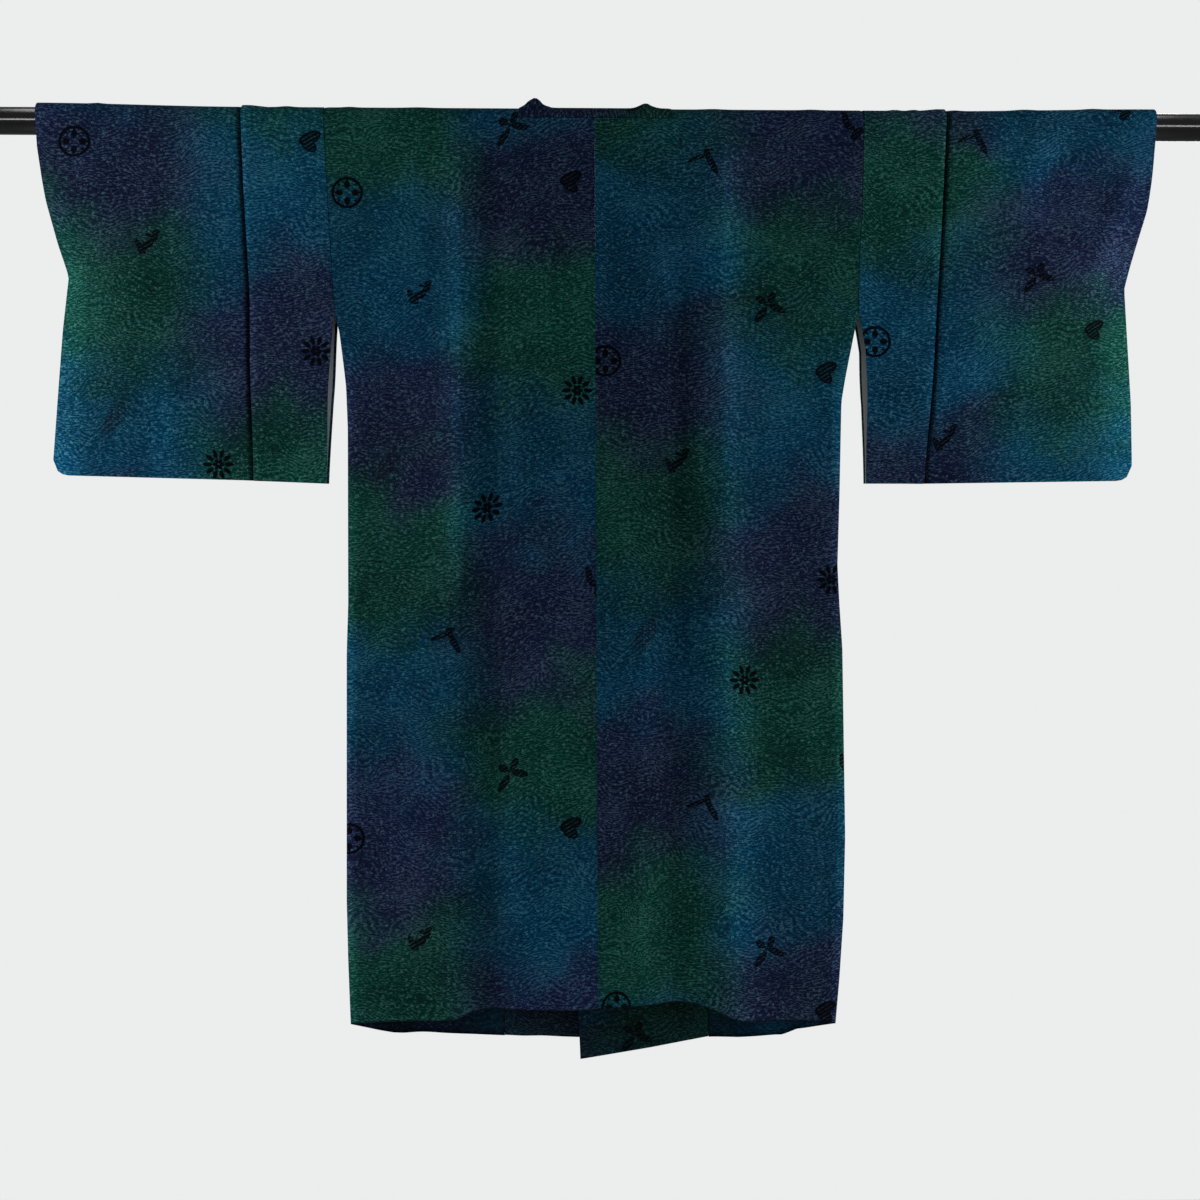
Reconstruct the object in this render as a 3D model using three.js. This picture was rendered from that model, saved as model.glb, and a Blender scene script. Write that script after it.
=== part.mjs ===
import * as THREE from "three";

// Michiyuki coat of figured silk, hanging flat on a round rod that runs through both sleeves.
// Millimetres, +Z up. The rod's axis is the X axis, and the origin is the rod's middle.
// The coat's back faces -Y, its front +Y, and the wearer's left is at -X.

// Driving sizes
const ROD_RADIUS = 16;
const ROD_LENGTH = 1500;
const ROD_SIDES = 32;

const CLOTH = 1.2; // wall of a single cloth
const DOUBLE_CLOTH = 2.4; // wall of a band folded double
const SEAM_GAP = 0.3; // left between two pieces that are sewn edge to edge
const BEND_RADIUS = 16.7; // inner side of the cloth where it bends over the rod
const BEND_STEPS = 8;
const CLOSED_DEPTH = 0.3; // from the middle plane to the inner side of a wall at a closed seam

const SHOULDER_LEVEL = -100; // a row of both the body and the sleeve
const CUFF_NOTCH = -190; // the cuff is open down to here
const ARMHOLE_END = -231; // the sleeve is sewn to the body down to here
const SIDE_SEAM_TOP = -325; // the side is open between the armhole and this level
const SIDE_FLAT = 150; // width over which the body flattens towards its side seam

const NECK_HALF = 92; // half width of the neck cut, the outer edge of the collar frame
const FRAME_INNER = 60; // half width of the square opening inside the frame
const FRAME_FOOT = -150; // the square opening's lower edge
const FRAME_WIDTH = NECK_HALF - FRAME_INNER;
const NECK_BACK_ANGLE = -84; // the back neck seam, in degrees from the top of the rod
const NECK_STRIP_ANGLE = 25; // the free edge of the collar behind the neck

const BAND_REACH = 58; // each front band passes the middle by this much at its top
const LAP_LIFT = 5.2; // the left front lies this far outside the right one

const TUCK = 10; // cloth hidden under the sleeve tuck
const TUCK_STEP = CLOTH + SEAM_GAP;
const TUCK_RUNOUT = 30; // the layers come together again this far from the fold
const SLEEVE_CORNER = 18; // radius of the sleeve's outer lower corner
const CUFF_FLAT = 95; // width over which the sleeve flattens towards its closed cuff edge
const SLEEVE_FLAT = 150; // height over which it flattens towards its bottom seam
const CUFF_STAND = 3.5; // the cuff stands this far off the rod

const SNAP_RADIUS = 6;
const SNAP_SIDES = 20;

const BACK = -1;
const FRONT = 1;

// Edges of the pieces, from the shoulder down. x is signed, z is the height.
const BODY_CENTRE = [
  { z: 20, x: -1 },
  { z: -790, x: 1.5 },
  { z: -1100, x: 4 },
];

const LEFT = {
  name: "left",
  sign: -1,
  bodyEdge: [
    { z: 20, x: -327.2 },
    { z: -113, x: -320 },
    { z: -231, x: -312.8 },
    { z: -256, x: -307 },
    { z: -320, x: -301 },
    { z: -370, x: -299 },
    { z: -582, x: -298.5 },
    { z: -640, x: -300.3 },
    { z: -940, x: -300.3 },
    { z: -1012, x: -298.5 },
    { z: -1090, x: -295.4 },
  ],
  frontSeam: [
    { z: -190, x: -92 },
    { z: -1108, x: -110 },
  ],
  bandEdge: [
    { z: -182, x: 58 },
    { z: -1115, x: 45 },
  ],
  sleeveOuter: [
    { z: 20, x: -669 },
    { z: -36, x: -665.6 },
    { z: -100, x: -656 },
    { z: -150, x: -645 },
    { z: -188, x: -633.6 },
    { z: -252, x: -640.7 },
    { z: -330, x: -646.5 },
    { z: -415, x: -652.6 },
    { z: -440, x: -652.6 },
  ],
  sleeveInner: [
    { z: -231, x: -313.1 },
    { z: -336, x: -321.1 },
    { z: -440, x: -324.8 },
  ],
  tuck: [
    { z: 20, x: -424.7 },
    { z: -82, x: -420.5 },
    { z: -214, x: -412.8 },
    { z: -440, x: -412 },
  ],
  sleeveBottom: [
    { x: -653, z: -426 },
    { x: -425, z: -432 },
    { x: -324, z: -436 },
  ],
};

const RIGHT = {
  name: "right",
  sign: 1,
  bodyEdge: [
    { z: 20, x: 324.4 },
    { z: -112, x: 321.5 },
    { z: -156, x: 318.4 },
    { z: -231, x: 316.7 },
    { z: -256, x: 311.9 },
    { z: -305, x: 304 },
    { z: -336, x: 299.1 },
    { z: -453, x: 296.7 },
    { z: -534, x: 294.3 },
    { z: -582, x: 296.7 },
    { z: -636, x: 300.3 },
    { z: -864, x: 303.7 },
    { z: -963, x: 301.5 },
    { z: -1036, x: 296.7 },
    { z: -1091, x: 291.9 },
  ],
  frontSeam: [
    { z: -190, x: 92 },
    { z: -1111, x: 139 },
  ],
  bandEdge: [
    { z: -182, x: -58 },
    { z: -1138, x: -18 },
  ],
  sleeveOuter: [
    { z: 20, x: 679.2 },
    { z: -13, x: 677.3 },
    { z: -64, x: 672.4 },
    { z: -106, x: 667.5 },
    { z: -160, x: 654.2 },
    { z: -198, x: 644.8 },
    { z: -256, x: 648.1 },
    { z: -337, x: 652.9 },
    { z: -402, x: 654 },
    { z: -440, x: 654 },
  ],
  sleeveInner: [
    { z: -231, x: 317 },
    { z: -273, x: 325 },
    { z: -338, x: 328.7 },
    { z: -440, x: 329.3 },
  ],
  tuck: [
    { z: 20, x: 423.6 },
    { z: -48, x: 420.6 },
    { z: -145, x: 415.8 },
    { z: -225, x: 410.8 },
    { z: -321, x: 406 },
    { z: -440, x: 399.4 },
  ],
  sleeveBottom: [
    { x: 329, z: -435 },
    { x: 400, z: -435 },
    { x: 655, z: -431 },
  ],
};

// Hems, from -X to +X
const BACK_HEM = [
  { x: -296, z: -1089 },
  { x: -225, z: -1084 },
  { x: -169, z: -1081 },
  { x: -146, z: -1071 },
  { x: -128, z: -1069 },
  { x: -27, z: -1070 },
  { x: 63, z: -1064 },
  { x: 101, z: -1061 },
  { x: 125, z: -1063 },
  { x: 167, z: -1080 },
  { x: 180, z: -1084 },
  { x: 239, z: -1086 },
  { x: 292, z: -1091 },
];
const LEFT_FRONT_HEM = [
  { x: -296, z: -1089 },
  { x: -245, z: -1100 },
  { x: -190, z: -1104 },
  { x: -110, z: -1108 },
  { x: -40, z: -1112 },
  { x: 45, z: -1115 },
];
const RIGHT_FRONT_HEM = [
  { x: -18, z: -1138 },
  { x: 69, z: -1124 },
  { x: 139, z: -1111 },
  { x: 174, z: -1111 },
  { x: 228, z: -1107 },
  { x: 245, z: -1098 },
  { x: 292, z: -1091 },
];
LEFT.frontHem = LEFT_FRONT_HEM;
RIGHT.frontHem = RIGHT_FRONT_HEM;

// Soft folds: a line from its top to its foot, with its half width and how far it stands out (or in, below 0)
const FOLDS = [
  { face: BACK, xTop: -165, zTop: -10, xFoot: -163, zFoot: -600, half: 20, rise: 4 },
  { face: BACK, xTop: -190, zTop: -80, xFoot: -188, zFoot: -270, half: 16, rise: -3 },
  { face: BACK, xTop: -146, zTop: -470, xFoot: -124, zFoot: -1180, half: 24, rise: -5 },
  { face: BACK, xTop: 155, zTop: 0, xFoot: 156, zFoot: -520, half: 22, rise: 5 },
  { face: BACK, xTop: 158, zTop: -440, xFoot: 176, zFoot: -1180, half: 26, rise: 5 },
  { face: BACK, xTop: 116, zTop: -440, xFoot: 103, zFoot: -1180, half: 20, rise: -4 },
  { face: BACK, xTop: 665, zTop: -20, xFoot: 575, zFoot: -270, half: 20, rise: 4 },
  { face: BACK, xTop: 560, zTop: 20, xFoot: 505, zFoot: -120, half: 18, rise: 3 },
  { face: BACK, xTop: -636, zTop: 0, xFoot: -590, zFoot: -110, half: 15, rise: 3 },
  { face: BACK, xTop: -606, zTop: -130, xFoot: -612, zFoot: -290, half: 16, rise: -3 },
  { face: BACK, xTop: -524, zTop: -270, xFoot: -516, zFoot: -450, half: 16, rise: 3 },
  { face: FRONT, xTop: -182, zTop: -40, xFoot: -176, zFoot: -690, half: 22, rise: 4 },
  { face: FRONT, xTop: -214, zTop: -520, xFoot: -206, zFoot: -1180, half: 24, rise: 5 },
  { face: FRONT, xTop: 176, zTop: -30, xFoot: 186, zFoot: -560, half: 20, rise: 4 },
  { face: FRONT, xTop: 214, zTop: -460, xFoot: 226, zFoot: -1180, half: 24, rise: 5 },
  { face: FRONT, xTop: 655, zTop: -30, xFoot: 560, zFoot: -290, half: 20, rise: 4 },
  { face: FRONT, xTop: -648, zTop: -20, xFoot: -570, zFoot: -240, half: 20, rise: 4 },
  { face: FRONT, xTop: -500, zTop: -230, xFoot: -492, zFoot: -450, half: 18, rise: 3 },
];
const FOLD_FADE = 60; // a fold fades in and out over this length

// The two collar corners stand up over the rod where the neck begins.
const COLLAR_BUMPS = [
  { x: -73, rise: 11.5, half: 12, angle: -8, spread: 42 },
  { x: 61, rise: 6, half: 11, angle: -6, spread: 42 },
];

// Columns of the collar frame, as distances from the middle
const FRAME_COLUMNS = [92, 86, 80, 73, 67, 60, 50, 38, 20, 0];

// Levels between which the rows of a hanging cloth are spread. The last level is the hem.
const BODY_LEVELS = [
  { z: 0, rows: 0 },
  { z: SHOULDER_LEVEL, rows: 2 },
  { z: CUFF_NOTCH, rows: 2 },
  { z: ARMHOLE_END, rows: 1 },
  { z: SIDE_SEAM_TOP, rows: 2 },
  { z: null, rows: 10 },
];
const SLEEVE_LEVELS = [
  { z: 0, rows: 0 },
  { z: SHOULDER_LEVEL, rows: 2 },
  { z: CUFF_NOTCH, rows: 2 },
  { z: ARMHOLE_END, rows: 1 },
  { z: null, rows: 5 },
];
const BAND_LEVELS = [
  { z: FRAME_FOOT - FRAME_WIDTH - SEAM_GAP, rows: 0 },
  { z: CUFF_NOTCH, rows: 1 },
  { z: null, rows: 12 },
];

const SNAPS = [
  { name: "snap_frame_left", x: -34, z: -166 },
  { name: "snap_frame_right", x: 42, z: -166 },
  { name: "snap_front", x: 30, z: -340 },
];

// Helpers
const lerp = THREE.MathUtils.lerp;
const degrees = THREE.MathUtils.degToRad;

// Rises smoothly from 0 at `start` to 1 at `end`, which may lie either way.
function ease(value, start, end) {
  const t = THREE.MathUtils.clamp((value - start) / (end - start), 0, 1);
  return t * t * (3 - 2 * t);
}

// Reads one named column of a table at a value of another, with straight lines between the rows.
function readTable(table, key, value, column) {
  const rising = table[table.length - 1][key] > table[0][key];
  const rows = rising ? table : [...table].reverse();
  if (value <= rows[0][key]) {
    return rows[0][column];
  }
  for (let i = 1; i < rows.length; i++) {
    if (value <= rows[i][key]) {
      const share = (value - rows[i - 1][key]) / (rows[i][key] - rows[i - 1][key]);
      return lerp(rows[i - 1][column], rows[i][column], share);
    }
  }
  return rows[rows.length - 1][column];
}
const xAt = (table, z) => readTable(table, "z", z, "x");
const zAt = (table, x) => readTable(table, "x", x, "z");

// How far the soft folds push the cloth out at a place on one face
function foldRise(face, x, z) {
  let rise = 0;
  for (const fold of FOLDS) {
    if (fold.face !== face) {
      continue;
    }
    const share = (z - fold.zTop) / (fold.zFoot - fold.zTop);
    const across = (x - lerp(fold.xTop, fold.xFoot, share)) / fold.half;
    const fade = ease(z, fold.zTop, fold.zTop - FOLD_FADE) * ease(z, fold.zFoot, fold.zFoot + FOLD_FADE);
    rise += fold.rise * Math.exp(-across * across) * fade;
  }
  return rise;
}

// A point on the bend over the rod, `out` outside its inner side
function bendPoint(x, angle, out) {
  const radius = BEND_RADIUS + out;
  const turn = degrees(angle);
  return new THREE.Vector3(x, radius * Math.sin(turn), radius * Math.cos(turn));
}

// A point on a hanging face, `out` outside its inner side
function hangingPoint(face, x, z, depth, out) {
  return new THREE.Vector3(x, face * (depth + out), z);
}

// Half depth of the body: as wide as the rod, and flat at the side seams below the armholes
function bodyDepth(side, x, z) {
  const fromEdge = Math.abs(xAt(side.bodyEdge, z) - x);
  const closed = ease(z, ARMHOLE_END + 6, SIDE_SEAM_TOP);
  const open = lerp(1, ease(fromEdge, 0, SIDE_FLAT), closed);
  return CLOSED_DEPTH + (BEND_RADIUS - CLOSED_DEPTH) * open;
}

// Soft folds fade where a side seam or a closed edge holds the cloth flat.
function foldRoom(depth) {
  return ease(depth, CLOSED_DEPTH, BEND_RADIUS / 2);
}

// The left front passes outside the right one between the seam of its band and its free edge.
function leftLift(side, x, z) {
  if (side !== LEFT) {
    return 0;
  }
  return LAP_LIFT * ease(x, -NECK_HALF, -FRAME_INNER) * ease(z, -30, FRAME_FOOT);
}

// Rows of a cloth from its back hem, over the rod, to its front hem
function clothRows(levels) {
  const hanging = hangingRows(levels);
  const back = hanging.map((row) => ({ ...row, face: BACK })).reverse();
  const front = hanging.map((row) => ({ ...row, face: FRONT }));
  const bend = [];
  for (let i = 0; i <= BEND_STEPS; i++) {
    bend.push({ face: 0, angle: -90 + (180 * i) / BEND_STEPS });
  }
  return [...back, ...bend, ...front];
}

// Hanging rows below the first level, each a share of the way from one level to the next
function hangingRows(levels) {
  const rows = [];
  for (let k = 1; k < levels.length; k++) {
    for (let i = 1; i <= levels[k].rows; i++) {
      rows.push({ from: levels[k - 1].z, to: levels[k].z, share: i / levels[k].rows });
    }
  }
  return rows;
}

// Height of a row at one column: the last level is the hem, whose height depends on x.
function rowPlace(row, typicalHem, columnX, hemAt) {
  const guess = lerp(row.from, row.to ?? typicalHem, row.share);
  const z = lerp(row.from, row.to ?? hemAt(columnX(guess)), row.share);
  return { x: columnX(z), z };
}

// Closed wall over a grid of cells. pointAt gives the outer and inner skin, present says where there is cloth.
function wall(rowCount, columnCount, pointAt, present) {
  const positions = [];
  const index = [];
  const known = new Map();
  const vertex = (row, column, skin) => {
    const key = `${row} ${column} ${skin}`;
    if (!known.has(key)) {
      known.set(key, positions.length / 3);
      positions.push(...pointAt(row, column, skin));
    }
    return known.get(key);
  };
  const quad = (a, b, c, d) => index.push(a, b, c, a, c, d);
  const has = (row, column) =>
    row >= 0 && column >= 0 && row < rowCount - 1 && column < columnCount - 1 && present(row, column);
  for (let row = 0; row < rowCount - 1; row++) {
    for (let column = 0; column < columnCount - 1; column++) {
      if (!has(row, column)) {
        continue;
      }
      const corners = [
        [row, column],
        [row, column + 1],
        [row + 1, column + 1],
        [row + 1, column],
      ];
      const outer = corners.map(([r, c]) => vertex(r, c, "outer"));
      const inner = corners.map(([r, c]) => vertex(r, c, "inner"));
      quad(...outer);
      quad(...inner.slice().reverse());
      const beyond = [
        [row - 1, column],
        [row, column + 1],
        [row + 1, column],
        [row, column - 1],
      ];
      beyond.forEach(([r, c], k) => {
        if (!has(r, c)) {
          const next = (k + 1) % 4;
          quad(outer[next], outer[k], inner[k], inner[next]);
        }
      });
    }
  }
  const geometry = new THREE.BufferGeometry();
  geometry.setAttribute("position", new THREE.Float32BufferAttribute(positions, 3));
  geometry.setIndex(facingOut(positions, index));
  geometry.computeVertexNormals();
  return geometry;
}

// Turns every triangle round if the closed mesh encloses a negative volume.
function facingOut(positions, index) {
  const corner = (i) => new THREE.Vector3().fromArray(positions, 3 * i);
  let volume = 0;
  for (let i = 0; i < index.length; i += 3) {
    volume += corner(index[i]).dot(corner(index[i + 1]).cross(corner(index[i + 2])));
  }
  return volume < 0 ? index.reverse() : index;
}

// Body panels: one cloth each, from the back hem over the shoulder to the front hem, with the neck cut out
const NECK_CELLS = 5;
const BODY_CELLS = 13;

function bodyPanel(side) {
  const rows = clothRows(BODY_LEVELS);
  const neckRow = rows.findIndex((row) => row.angle > NECK_BACK_ANGLE);
  rows.splice(neckRow, 0, { face: 0, angle: NECK_BACK_ANGLE });
  const neckX = side.sign * (NECK_HALF + SEAM_GAP);
  const centreGap = (side.sign * SEAM_GAP) / 2;
  const columnX = (face, column, z) => {
    if (column < NECK_CELLS) {
      return lerp(xAt(BODY_CENTRE, z) + centreGap, neckX, column / NECK_CELLS);
    }
    const front = xAt(side.frontSeam, z) + side.sign * SEAM_GAP;
    const share = (column - NECK_CELLS) / BODY_CELLS;
    return lerp(face === FRONT ? front : neckX, xAt(side.bodyEdge, z), share);
  };
  const pointAt = (r, column, skin) => {
    const row = rows[r];
    const out = skin === "outer" ? CLOTH : 0;
    if (row.face === 0) {
      return bendPoint(columnX(0, column, BEND_RADIUS * Math.cos(degrees(row.angle))), row.angle, out);
    }
    const hem = row.face === BACK ? BACK_HEM : side.frontHem;
    const { x, z } = rowPlace(row, -1090, (z) => columnX(row.face, column, z), (x) => zAt(hem, x));
    const depth = bodyDepth(side, x, z);
    return hangingPoint(row.face, x, z, depth, out + foldRise(row.face, x, z) * foldRoom(depth));
  };
  const present = (row, column) => column >= NECK_CELLS || row < neckRow;
  return wall(rows.length, NECK_CELLS + BODY_CELLS + 1, pointAt, present);
}

// Sleeves: one cloth each, over the rod, closed at the bottom and below the cuff, open beside the body.
// A narrow tuck runs all the way along the cloth, its inner part lying over its outer one.
const OUTER_SHARES = [0, 0.012, 0.035, 0.075, 0.17, 0.29, 0.43, 0.57, 0.71, 0.86];
const INNER_SHARES = [0.35, 0.68, 1];
const FRONT_PEEP = 6; // the front layer's free edge beside the body stands nearer to it by this much

// Both skins through the tuck: distance past its visible fold towards the body, and height over the base
const TUCK_COLUMNS = [
  { outerAt: -6, outerUp: CLOTH, innerAt: -6, innerUp: 0 },
  { outerAt: TUCK - CLOTH, outerUp: CLOTH, innerAt: TUCK, innerUp: 0 },
  { outerAt: TUCK - CLOTH, outerUp: TUCK_STEP, innerAt: TUCK, innerUp: TUCK_STEP + CLOTH },
  { outerAt: 0, outerUp: TUCK_STEP, innerAt: CLOTH, innerUp: TUCK_STEP + CLOTH },
  { outerAt: 0, outerUp: 2 * TUCK_STEP + CLOTH, innerAt: CLOTH, innerUp: 2 * TUCK_STEP },
  { outerAt: TUCK + 0.5, outerUp: 2 * TUCK_STEP + CLOTH, innerAt: TUCK + 0.5, innerUp: 2 * TUCK_STEP },
  { outerAt: TUCK_RUNOUT, outerUp: CLOTH, innerAt: TUCK_RUNOUT, innerUp: 0 },
];

// The sleeve's bottom edge, with its outer corner rounded
function sleeveFoot(side, x) {
  const outer = xAt(side.sleeveOuter, side.sleeveOuter[side.sleeveOuter.length - 1].z);
  const fromEdge = Math.max(0, Math.abs(outer - x));
  const straight = zAt(side.sleeveBottom, x);
  if (fromEdge >= SLEEVE_CORNER) {
    return straight;
  }
  const run = SLEEVE_CORNER - fromEdge;
  return straight + SLEEVE_CORNER - Math.sqrt(SLEEVE_CORNER ** 2 - run ** 2);
}

// The edge of the sleeve that is sewn to the body, and hangs free below the armhole
function sleeveInnerEdge(side, face, z) {
  if (z > ARMHOLE_END) {
    return xAt(side.bodyEdge, z) + side.sign * SEAM_GAP;
  }
  const peep = face === FRONT ? FRONT_PEEP * ease(z, ARMHOLE_END - 10, ARMHOLE_END - 110) : 0;
  return xAt(side.sleeveInner, z) - side.sign * peep;
}

function sleeveDepth(side, x, z) {
  const fromCuff = Math.abs(xAt(side.sleeveOuter, z) - x);
  const fromFoot = z - sleeveFoot(side, x);
  const cuffClosed = ease(z, -70, CUFF_NOTCH);
  const open = lerp(1, ease(fromCuff, 0, CUFF_FLAT), cuffClosed) * ease(fromFoot, 0, SLEEVE_FLAT);
  return CLOSED_DEPTH + (BEND_RADIUS - CLOSED_DEPTH) * open;
}

function sleeve(side) {
  const rows = clothRows(SLEEVE_LEVELS);
  const towardsBody = -side.sign;
  const columns = [
    ...OUTER_SHARES.map((share) => ({ part: "outer", share })),
    ...TUCK_COLUMNS.map((tuck) => ({ part: "tuck", tuck })),
    ...INNER_SHARES.map((share) => ({ part: "inner", share })),
  ];
  const columnX = (face, column, z, skin) => {
    const fold = xAt(side.tuck, z);
    if (column.part === "outer") {
      return lerp(xAt(side.sleeveOuter, z), fold + towardsBody * TUCK_COLUMNS[0].outerAt, column.share);
    }
    if (column.part === "inner") {
      return lerp(fold + towardsBody * TUCK_RUNOUT, sleeveInnerEdge(side, face, z), column.share);
    }
    return fold + towardsBody * (skin === "outer" ? column.tuck.outerAt : column.tuck.innerAt);
  };
  const outOf = (column, skin) => {
    if (column.part === "tuck") {
      return skin === "outer" ? column.tuck.outerUp : column.tuck.innerUp;
    }
    return skin === "outer" ? CLOTH : 0;
  };
  const pointAt = (r, c, skin) => {
    const row = rows[r];
    const column = columns[c];
    const out = outOf(column, skin);
    if (row.face === 0) {
      const x = columnX(0, column, BEND_RADIUS * Math.cos(degrees(row.angle)), skin);
      const cuff = ease(Math.abs(x), Math.abs(xAt(side.tuck, 0)), Math.abs(side.sleeveOuter[0].x));
      return bendPoint(x, row.angle, out + CUFF_STAND * cuff * Math.cos(degrees(row.angle)));
    }
    const place = rowPlace(row, -432, (z) => columnX(row.face, column, z, skin), (x) => sleeveFoot(side, x));
    const depth = sleeveDepth(side, place.x, place.z);
    const rise = foldRise(row.face, place.x, place.z) * foldRoom(depth);
    return hangingPoint(row.face, place.x, place.z, depth, out + rise);
  };
  return wall(rows.length, columns.length, pointAt, () => true);
}

// Front bands: cloth folded double, sewn to each front and lapped over the middle, the left outside the right
const BAND_CELLS = 8;

function frontBand(side) {
  const rows = [{ from: BAND_LEVELS[0].z, to: BAND_LEVELS[0].z, share: 0 }, ...hangingRows(BAND_LEVELS)];
  const columnX = (column, z) => lerp(xAt(side.frontSeam, z), xAt(side.bandEdge, z), column / BAND_CELLS);
  const pointAt = (r, column, skin) => {
    const hemAt = (x) => zAt(side.frontHem, x);
    const { x, z } = rowPlace(rows[r], -1110, (z) => columnX(column, z), hemAt);
    const out = (skin === "outer" ? DOUBLE_CLOTH : 0) + leftLift(side, x, z);
    return hangingPoint(FRONT, x, z, BEND_RADIUS, out + foldRise(FRONT, x, z));
  };
  return wall(rows.length, BAND_CELLS + 1, pointAt, () => true);
}

// Collar frame: a double strip that runs behind the neck, over the rod and down both sides of the square
const FRAME_HANGING_ROWS = 6;

function collarFrame() {
  const columns = [...FRAME_COLUMNS.map((x) => -x), ...FRAME_COLUMNS.slice(0, -1).reverse()];
  const rows = [];
  for (const angle of [NECK_BACK_ANGLE + 2, -60, -36, -14, 5, NECK_STRIP_ANGLE, 46, 68, 90]) {
    rows.push({ angle });
  }
  for (let i = 1; i <= FRAME_HANGING_ROWS; i++) {
    rows.push({ share: i / FRAME_HANGING_ROWS });
  }
  const stripRows = rows.findIndex((row) => row.angle === NECK_STRIP_ANGLE);
  const mitre = (x) => FRAME_FOOT - (Math.abs(x) - FRAME_INNER);
  const bump = (x, angle) => {
    let rise = 0;
    for (const b of COLLAR_BUMPS) {
      rise += b.rise * Math.exp(-(((x - b.x) / b.half) ** 2) - ((angle - b.angle) / b.spread) ** 2);
    }
    return rise;
  };
  const pointAt = (r, column, skin) => {
    const x = columns[column];
    const out = skin === "outer" ? DOUBLE_CLOTH : 0;
    if (rows[r].angle !== undefined) {
      return bendPoint(x, rows[r].angle, out + bump(x, rows[r].angle));
    }
    const z = lerp(0, mitre(x), rows[r].share);
    return hangingPoint(FRONT, x, z, BEND_RADIUS, out + leftLift(x < 0 ? LEFT : RIGHT, x, z));
  };
  const present = (row, column) => {
    const middle = Math.abs(columns[column] + columns[column + 1]) / 2;
    return row < stripRows || middle > FRAME_INNER;
  };
  return wall(rows.length, columns.length, pointAt, present);
}

// Frame feet: the frame's lower strips on top of each front band, mitred to its sides
const FOOT_CELLS = 8;
const FOOT_ROWS = 2;

function frameFoot(side) {
  const pointAt = (row, column, skin) => {
    const down = (FRAME_WIDTH * row) / FOOT_ROWS;
    const z = FRAME_FOOT - down;
    const corner = side.sign * (FRAME_INNER + down - 1.5 * SEAM_GAP);
    const x = lerp(corner, -side.sign * BAND_REACH, column / FOOT_CELLS);
    const out = (skin === "outer" ? DOUBLE_CLOTH : 0) + leftLift(side, x, z);
    return hangingPoint(FRONT, x, z, BEND_RADIUS, out);
  };
  return wall(FOOT_ROWS + 1, FOOT_CELLS + 1, pointAt, () => true);
}

// Covered snaps, closed between the two front layers
function snap() {
  const inner = BEND_RADIUS + DOUBLE_CLOTH + SEAM_GAP;
  const thickness = LAP_LIFT - DOUBLE_CLOTH - 2 * SEAM_GAP;
  const disc = new THREE.CylinderGeometry(SNAP_RADIUS, SNAP_RADIUS, thickness, SNAP_SIDES);
  disc.translate(0, inner + thickness / 2, 0);
  return disc;
}

function rod() {
  const bar = new THREE.CylinderGeometry(ROD_RADIUS, ROD_RADIUS, ROD_LENGTH, ROD_SIDES);
  bar.rotateZ(Math.PI / 2);
  return bar;
}

// Materials and assembly
function silk(color) {
  return new THREE.MeshStandardMaterial({ color, roughness: 0.75, metalness: 0, side: THREE.DoubleSide });
}

function piece(name, geometry, material) {
  const mesh = new THREE.Mesh(geometry, material);
  mesh.name = name;
  return mesh;
}

const coat = new THREE.Group();
for (const side of [LEFT, RIGHT]) {
  coat.add(piece(`body_${side.name}`, bodyPanel(side), silk(0x12404f)));
  coat.add(piece(`sleeve_${side.name}`, sleeve(side), silk(0x15364f)));
  coat.add(piece(`front_band_${side.name}`, frontBand(side), silk(0x11423f)));
  coat.add(piece(`frame_foot_${side.name}`, frameFoot(side), silk(0x24264a)));
}
coat.add(piece("collar_frame", collarFrame(), silk(0x1e2c4c)));
for (const { name, x, z } of SNAPS) {
  const mesh = piece(name, snap(), silk(0x10141c));
  mesh.position.set(x, 0, z);
  coat.add(mesh);
}

const blackPaint = new THREE.MeshStandardMaterial({ color: 0x0b0b0d, roughness: 0.2, metalness: 0 });
const part = new THREE.Group();
part.add(coat);
part.add(piece("rod", rod(), blackPaint));

export default part;
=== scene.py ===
import functools
import math

import bpy
import numpy as np
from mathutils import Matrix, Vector


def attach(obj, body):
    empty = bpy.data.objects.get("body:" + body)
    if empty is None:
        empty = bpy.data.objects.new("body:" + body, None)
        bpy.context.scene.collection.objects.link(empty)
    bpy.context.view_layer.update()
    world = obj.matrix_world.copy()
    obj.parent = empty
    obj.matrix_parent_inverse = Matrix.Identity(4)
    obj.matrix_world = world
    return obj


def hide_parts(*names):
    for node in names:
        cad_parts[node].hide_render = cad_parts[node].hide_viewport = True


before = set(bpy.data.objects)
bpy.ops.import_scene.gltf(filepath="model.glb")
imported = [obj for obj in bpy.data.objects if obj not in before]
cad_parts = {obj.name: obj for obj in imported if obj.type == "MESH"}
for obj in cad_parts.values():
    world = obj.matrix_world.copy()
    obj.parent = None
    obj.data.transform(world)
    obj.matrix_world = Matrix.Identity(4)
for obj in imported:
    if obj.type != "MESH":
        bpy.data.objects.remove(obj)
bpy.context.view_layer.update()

# Camera
# It stands 1.7 m behind the coat's back, level with the middle of the picture, and a degree to its left.
# The picture takes in 1.44 m at the coat's back, as the photo does.
MM = 0.001  # the sections below work in millimetres and turn them to metres in their meshes
CAMERA_DISTANCE = 1700
PICTURE_WIDTH = 1440  # what the picture takes in, at the coat's back
PICTURE_CENTRE = (5.4, -17, -576.5)
CAMERA_TURN = math.radians(1.0)
SENSOR = 36

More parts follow.
